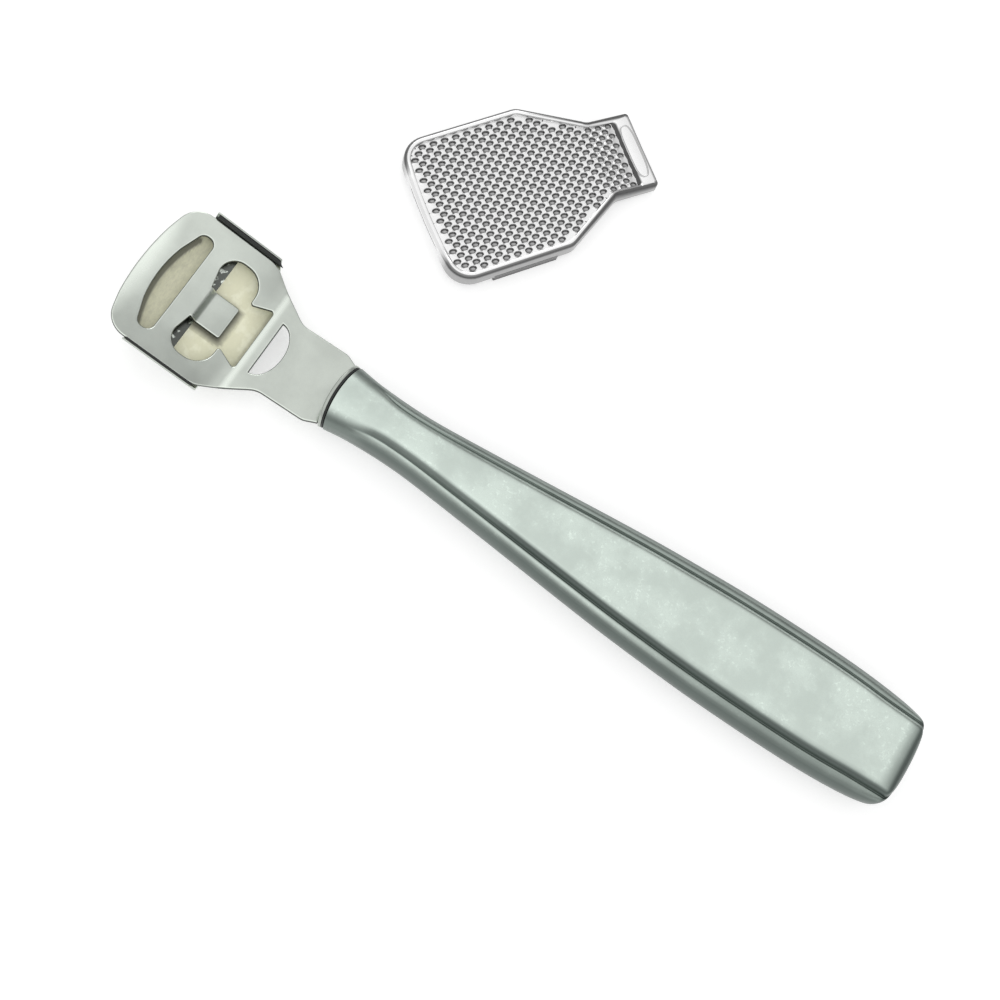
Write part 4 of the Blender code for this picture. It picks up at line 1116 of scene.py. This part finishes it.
def sleeve_mesh(sizes):
    section = sleeve_loop(sizes, 0.0) + list(reversed(sleeve_loop(sizes, sizes.paper)))
    bm = edged_sheet([section], SLEEVE_WIDTH, 0.00002)
    bm.transform(Matrix.Rotation(math.pi / 2, 4, "X"))
    cut_across(bm, ALONG, (-0.0195, -0.0160, 0.0003), (-0.0155, -0.0124, 0.0010),
               (-0.0120, -0.0012, 0.0004))
    cut_across(bm, ACROSS, (-0.0048, 0.0040, 0.0004))
    for vert in bm.verts:
        part = max(vert.co.x - SLEEVE_SHOULDER, 0.0) / (SLEEVE_BACK - SLEEVE_SHOULDER)
        vert.co.y *= 1 - 0.2 * part
    arch(bm, sizes)
    shadow = bm.verts.layers.float.new("shadow")
    for vert in bm.verts:
        x, y = vert.co.x, vert.co.y
        vert[shadow] = max(tongue_shadow(x, y), slot_shadow(sizes, x, y))
        wave = math.sin(900 * x + 260 * y) + math.sin(430 * x - 610 * y + 1.3)
        vert.co.z -= sizes.paper_wave * 0.25 * (wave + 2)
    bm.transform(head_matrix(sizes))
    return turned_out(bm)


class SHAVER_OT_blade(Operator):
    """Makes the waxed paper round the blade, and dresses the blade"""

    bl_idname = "shaver.blade"
    bl_label = "Blade and paper"

    def execute(self, context):
        piece("paper_sleeve", sleeve_mesh(context.scene.shaver_head), waxed_paper, "sole",
              ("blade_wrapper",))
        dress_node("blade", blade_steel)
        return {"FINISHED"}


# Rasp cap

def rasp_outline(sizes, inset, reach):
    """The cap's outline drawn in by an inset; its neck end lies at the given reach."""
    half, neck = sizes.half_width - inset, sizes.neck_half_width - inset
    start, stop = RASP_TAPER
    shift = inset * math.tan(math.atan2(half - neck, stop - start) / 2)
    front = sizes.half_length - inset
    bulge = 0.0008
    return rounded(bulged_edge(front, half, bulge) + [
        (-front + bulge, half, max(0.0046 - inset, 0.0006)),
        (start - shift, half, 0.0030), (stop - shift, neck, 0.0030),
        (reach, neck, 0.0006), (reach, 0.0, 0)])


def dip(sizes, bm):
    """Lets the cap's neck slope down past its bend, its top more than its wall's foot."""
    skirt, low_drop, more_drop = 0.0015, 0.0014, 0.0012
    grip = sizes.half_length - RASP_GRIP
    for vert in bm.verts:
        share = max(min(vert.co.x, grip) - RASP_BEND, 0.0) / (sizes.half_length - RASP_BEND)
        up = min(max((vert.co.z - skirt) / (sizes.height - skirt), 0.0), 1.0)
        vert.co.z -= share * (low_drop + more_drop * up)
    return bm


def rim_tone(sizes, p, row):
    """Painted shade of a place on the rim, changed along the neck and on the grip."""
    inset, z, reach, dark = row
    end, neck = sizes.half_length, sizes.neck_half_width
    if p.x > end - 0.0008 and abs(p.y) < neck - 0.0008:
        dark *= 0.4
    field_end = end - RASP_GRIP
    if reach < field_end + 0.0006:
        dark = max(dark, 1.4 * smooth_step((p.x - field_end + 0.0012) / 0.0006))
    beside = p.x < end - 0.0004 and abs(p.y) > neck - inset - 0.0001
    if inset < 0.0007 and z > sizes.height - 0.0010 and beside:
        dark = max(dark, 1.3 * smooth_step((p.x - 0.0092) / 0.0016))
    return dark


def rasp_rim(sizes):
    """The rim, its flared wall and the flat grip at the neck's end."""
    bm, hole = new_mesh("hole")
    high, field = sizes.height, sizes.height - sizes.recess
    end, rim = sizes.half_length, sizes.rim
    field_end = end - RASP_GRIP
    # Inset, level, reach of the neck's end, painted shade
    rows = [
        (rim, field - 0.0002, field_end - 0.0003, 0.6),
        (rim, field + 0.0001, field_end - 0.0002, 0.5),
        (rim - 0.00008, high - 0.0002, field_end + 0.0004, 0.4),
        (rim - 0.0002, high - 0.00005, field_end + 0.0007, 0.1),
        (rim - 0.0004, high, field_end + 0.0009, 0.0), (0.00060, high, end - 0.0006, 0.0),
        (0.00045, high - 0.00003, end - 0.00035, 1.15),
        (0.00034, high - 0.00008, end - 0.0002, 1.15), (0.00008, high - 0.0003, end, 1.3),
        (0.0, high - 0.0005, end, 1.2), (-0.00002, high - 0.0008, end, 0.9),
        (-0.00006, high - 0.0020, end, 0.85), (-0.00008, high - 0.0027, end, 0.85),
        (-0.00009, high - 0.0029, end, 0.8), (0.0002, high - 0.0029, end, 0.9),
        (0.0004, high - 0.0014, end, 1.15), (0.0005, field - 0.0005, end - 0.0002, 0.8),
        (rim, field - 0.0005, field_end, 0.8),
    ]
    rings = []
    for row in rows:
        inset, z, reach, _ = row
        ring = []
        for p in rasp_outline(sizes, inset, reach):
            # At the wide end the rim sinks to the field, and the wall under it is cut away
            wide_end = smooth_step((-p.x - end + 0.0032) / 0.0012)
            low_rim = wide_end * smooth_step((0.0102 - abs(p.y)) / 0.0030)
            cleared = wide_end * smooth_step((0.0072 - abs(p.y)) / 0.0008)
            level = z - low_rim * max(z - field - 0.0001, 0.0) * 0.9
            level = max(level, level + cleared * (high - 0.0014 - level))
            tone = rim_tone(sizes, p, row) * (1 - 0.75 * low_rim)
            ring.append(add_vert(bm, (p.x, p.y, level), hole, tone))
        rings.append(ring)
    # Between these rows the wall is open at the neck's end
    first, last = 8, 16
    middle = len(rings[0]) // 2
    skin(bm, rings[:first + 1])
    skin(bm, rings[first:last + 1], gap=(middle - 1, middle))
    skin(bm, rings[last:])
    loop = rings[-1]
    for a, b, c in tessellate_polygon([flat_places(loop)]):
        bm.faces.new((loop[a], loop[b], loop[c]))
    return bm


def tooth_cell(bm, hole, sizes, x, y, base):
    """One rhombic cell of the sheet with a round burr in it, raised about its punched hole."""
    half, row = sizes.tooth_pitch / 2, sizes.tooth_row
    corners = [(half, 0.0), (0.0, row), (-half, 0.0), (0.0, -row)]
    rings = [[bm.verts.new((x + a[0] + (b[0] - a[0]) * share, y + a[1] + (b[1] - a[1]) * share,
                            base))
              for a, b in zip(corners, corners[1:] + corners[:1])
              for share in (0.0, 1 / 3, 2 / 3)]]
    # The rings carry painted shade, deeper on the hole's side towards -x as a painted shadow
    for long, wide, rise, dark in TOOTH_RINGS:
        rings.append([
            add_vert(bm, (x + long * half * c, y + wide * row * s,
                          base + rise * sizes.tooth_height),
                     hole, dark + 0.5 * (dark > 0.5) * max(-c - 0.2, 0.0))
            for c, s in circle(12)])
    skin(bm, rings)
    # The hole is closed by a floor whose grey is painted shade
    bm.faces.new(rings[-1])


def drawn_back(loop, x, y, far_x, far_y):
    """The farthest place from (x, y) towards the far one that still lies inside the loop."""
    for step in range(16, 0, -1):
        share = step / 16
        place = (x + (far_x - x) * share, y + (far_y - y) * share)
        if inside(loop, *place):
            return place
    return x, y


def tooth_field(sizes):
    """The punched field: teeth inside the rim, plain sheet where it runs under the rim."""
    bare_end, under_rim = 0.0021, 0.00045
    bm, hole = new_mesh("hole")
    half, row = sizes.tooth_pitch / 2, sizes.tooth_row
    base = sizes.height - sizes.recess
    field_end = sizes.half_length - RASP_GRIP
    teeth = rasp_outline(sizes, sizes.rim + 0.0002, field_end - 0.0005)
    sheet = rasp_outline(sizes, under_rim, field_end + 0.0012)
    columns = int(sizes.half_length / half)
    rows = int(sizes.half_width / row)
    for j in range(-rows, rows + 1):
        for i in range(-columns, columns + 1):
            if (i + j) % 2:
                continue
            x, y = i * half, j * row
            if inside(teeth, x, y) and x > bare_end - sizes.half_length:
                tooth_cell(bm, hole, sizes, x, y, base)
            elif inside(sheet, x, y):
                corners = ((x + half, y), (x, y + row), (x - half, y), (x, y - row))
                kept = [drawn_back(sheet, x, y, *p) for p in corners]
                bm.faces.new([bm.verts.new((*p, base)) for p in kept])
    bmesh.ops.remove_doubles(bm, verts=bm.verts, dist=0.00002)
    return bm


def grip_ridge(sizes):
    """The low oval ridge on the grip, left bare inside."""
    bm, hole = new_mesh("hole")
    half_width, height, count = 0.00016, 0.00010, 48
    path = squared_oval(0.00115, 0.0052, 0.7, 0.55, count)
    rings = []
    for k, here in enumerate(path):
        along = (path[(k + 1) % count] - path[k - 1]).normalized()
        side = Vector((along.y, -along.x))
        ring = []
        for step in range(6):
            turn = math.pi * step / 5
            out = side * (math.cos(turn) * half_width)
            place = (here.x + out.x, here.y + out.y, height * math.sin(turn) - 0.00001)
            # The ridge is darkened with the rasp's painted shade colour
            ring.append(add_vert(bm, place, hole, 0.6))
        rings.append(ring)
    skin(bm, rings + rings[:1], closed=False)
    return moved(bm, sizes.half_length - 0.0018, 0.0, sizes.height)


def side_tabs(sizes):
    """A tab in the cap's wall on each side, painted dark as shade, with its foot on the floor."""
    face = sizes.half_width + 0.000087
    tabs = []
    for side in (1, -1):
        for depth, top in ((0.0005, 0.0021), (0.0009, 0.0005)):
            near, far = sorted((side * face, side * (face - depth)))
            tab = rounded_block((TAB_X[0], near, 0.0), (TAB_X[1], far, top), 0.0001)
            hole = tab.verts.layers.float.new("hole")
            for vert in tab.verts:
                vert[hole] = 1.3
            tabs.append(tab)
    return tabs


class SHAVER_OT_rasp(Operator):
    """Makes the loose rasp cap with its punched teeth, rim, wall and side tabs"""

    bl_idname = "shaver.rasp"
    bl_label = "Rasp cap"

    def execute(self, context):
        sizes = context.scene.shaver_rasp
        sheets = [turned_out(rasp_rim(sizes)), turned_up(tooth_field(sizes)),
                  turned_up(grip_ridge(sizes))]
        whole = joined([dip(sizes, sheet) for sheet in sheets] + side_tabs(sizes), "hole")
        spot = Matrix.Translation(RASP_SPOT) @ Matrix.Rotation(RASP_TURN, 4, "Z")
        whole.transform(spot)
        low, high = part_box("rasp_plate")
        if (spot.translation.xy - ((low + high) / 2).xy).length > 0.004:
            raise RuntimeError("the rasp cap's frame node lies somewhere else")
        piece("rasp_form", whole, chrome, "handle", ("rasp_plate",), 32.0)
        return {"FINISHED"}


# Stage

class SHAVER_OT_stage(Operator):
    """Makes the pale floor, the soft studio light and the camera"""

    bl_idname = "shaver.stage"
    bl_label = "Stage"

    def execute(self, context):
        settings = context.scene.shaver_stage
        self.floor(settings)
        self.world(context.scene, settings)
        self.key(settings)
        context.scene.camera = self.camera(settings)
        context.scene.view_settings.view_transform = "Standard"
        return {"FINISHED"}

    def floor(self, settings):
        """The floor, whitened as the camera, the steel and clear things see it."""
        bm = bmesh.new()
        bmesh.ops.create_grid(bm, x_segments=2, y_segments=2, size=2.0)
        made = linked("floor", as_mesh("floor", bm))
        look = Finish("pale_floor")
        path = look.node("ShaderNodeLightPath")
        camera, glossy, clear = (Wire(look, path.outputs[f"Is {kind} Ray"])
                                 for kind in ("Camera", "Glossy", "Transmission"))
        look.set(Base_Color=(*[settings.floor] * 3, 1.0), Roughness=0.9, Specular_IOR_Level=0.0,
                 Emission_Color=WHITE,
                 Emission_Strength=(camera + glossy + clear).kept() * settings.floor_glow)
        made.data.materials.append(look.material)

    def world(self, scene, settings):
        """A studio that is bright overhead, seen by the camera as plain white."""
        scene.world = bpy.data.worlds.new("studio")
        scene.world.use_nodes = True
        net = Net(scene.world.node_tree)
        net.tree.nodes.clear()
        toward = net.wire("ShaderNodeVectorMath", "Value", {"operation": "DOT_PRODUCT"}, {
            0: net.wire("ShaderNodeTexCoord", "Generated"),
            1: Vector(settings.bright_way).normalized()})
        rise = net.wire("ShaderNodeMapRange", "Result", None, {
            "Value": toward, "From Min": 0.1, "From Max": 1.0,
            "To Min": settings.dim, "To Max": settings.bright})
        net.node("ShaderNodeOutputWorld", None, {0: net.wire("ShaderNodeMixShader", 0, None, {
            0: net.wire("ShaderNodeLightPath", "Is Camera Ray"),
            1: net.wire("ShaderNodeBackground", 0, None, {"Color": WHITE, "Strength": rise}),
            2: net.wire("ShaderNodeBackground", 0, None, {"Color": WHITE})})})

    def key(self, settings):
        lamp = bpy.data.lights.new("key", "AREA")
        lamp.size = settings.key_size
        lamp.energy = settings.key_power
        made = linked("key", lamp)
        made.location = (-0.38, 0.50, 0.44)
        aim = Vector((-0.03, 0.01, 0.0)) - made.location
        made.rotation_mode = "QUATERNION"
        made.rotation_quaternion = aim.to_track_quat("-Z", "Y")

    def camera(self, settings):
        """The camera, fitted to the photograph."""
        lens = bpy.data.cameras.new("camera")
        lens.lens = settings.lens
        lens.sensor_width = 36.0
        lens.clip_start = 0.01
        made = linked("camera", lens)
        made.location = (-0.0436168, -0.0612801, 0.2269669)
        made.rotation_euler = (0.2205773, -0.1580262, 0.5614170)
        return made


class SHAVER_PT_panel(Panel):
    """Lists the shaver's pieces in the sidebar"""

    bl_idname = "SHAVER_PT_panel"
    bl_label = "Callus shaver"
    bl_space_type = "VIEW_3D"
    bl_region_type = "UI"
    bl_category = "Shaver"

    def draw(self, context):
        for cls in STEPS:
            self.layout.operator(cls.bl_idname)
        for group in SETTINGS:
            box = self.layout.box()
            owner = getattr(context.scene, group)
            for key in owner.bl_rna.properties.keys():
                if key not in ("rna_type", "name"):
                    box.prop(owner, key)


STEPS = (SHAVER_OT_stage, SHAVER_OT_handle, SHAVER_OT_collar, SHAVER_OT_head_plate,
         SHAVER_OT_sole, SHAVER_OT_blade, SHAVER_OT_rasp)
SETTINGS = {
    "shaver_handle": HandleSizes, "shaver_head": HeadSizes, "shaver_rasp": RaspSizes,
    "shaver_finishes": Finishes, "shaver_stage": StageSettings,
}


def register():
    for cls in (*SETTINGS.values(), *STEPS, SHAVER_PT_panel):
        bpy.utils.register_class(cls)
    for name, cls in SETTINGS.items():
        setattr(bpy.types.Scene, name, PointerProperty(type=cls))


def unregister():
    for name in SETTINGS:
        delattr(bpy.types.Scene, name)
    for cls in reversed((*SETTINGS.values(), *STEPS, SHAVER_PT_panel)):
        bpy.utils.unregister_class(cls)


def main():
    register()
    for name in ("stage", "handle", "collar", "head_plate", "sole", "blade", "rasp"):
        getattr(bpy.ops.shaver, name)()


if __name__ == "__main__":
    main()
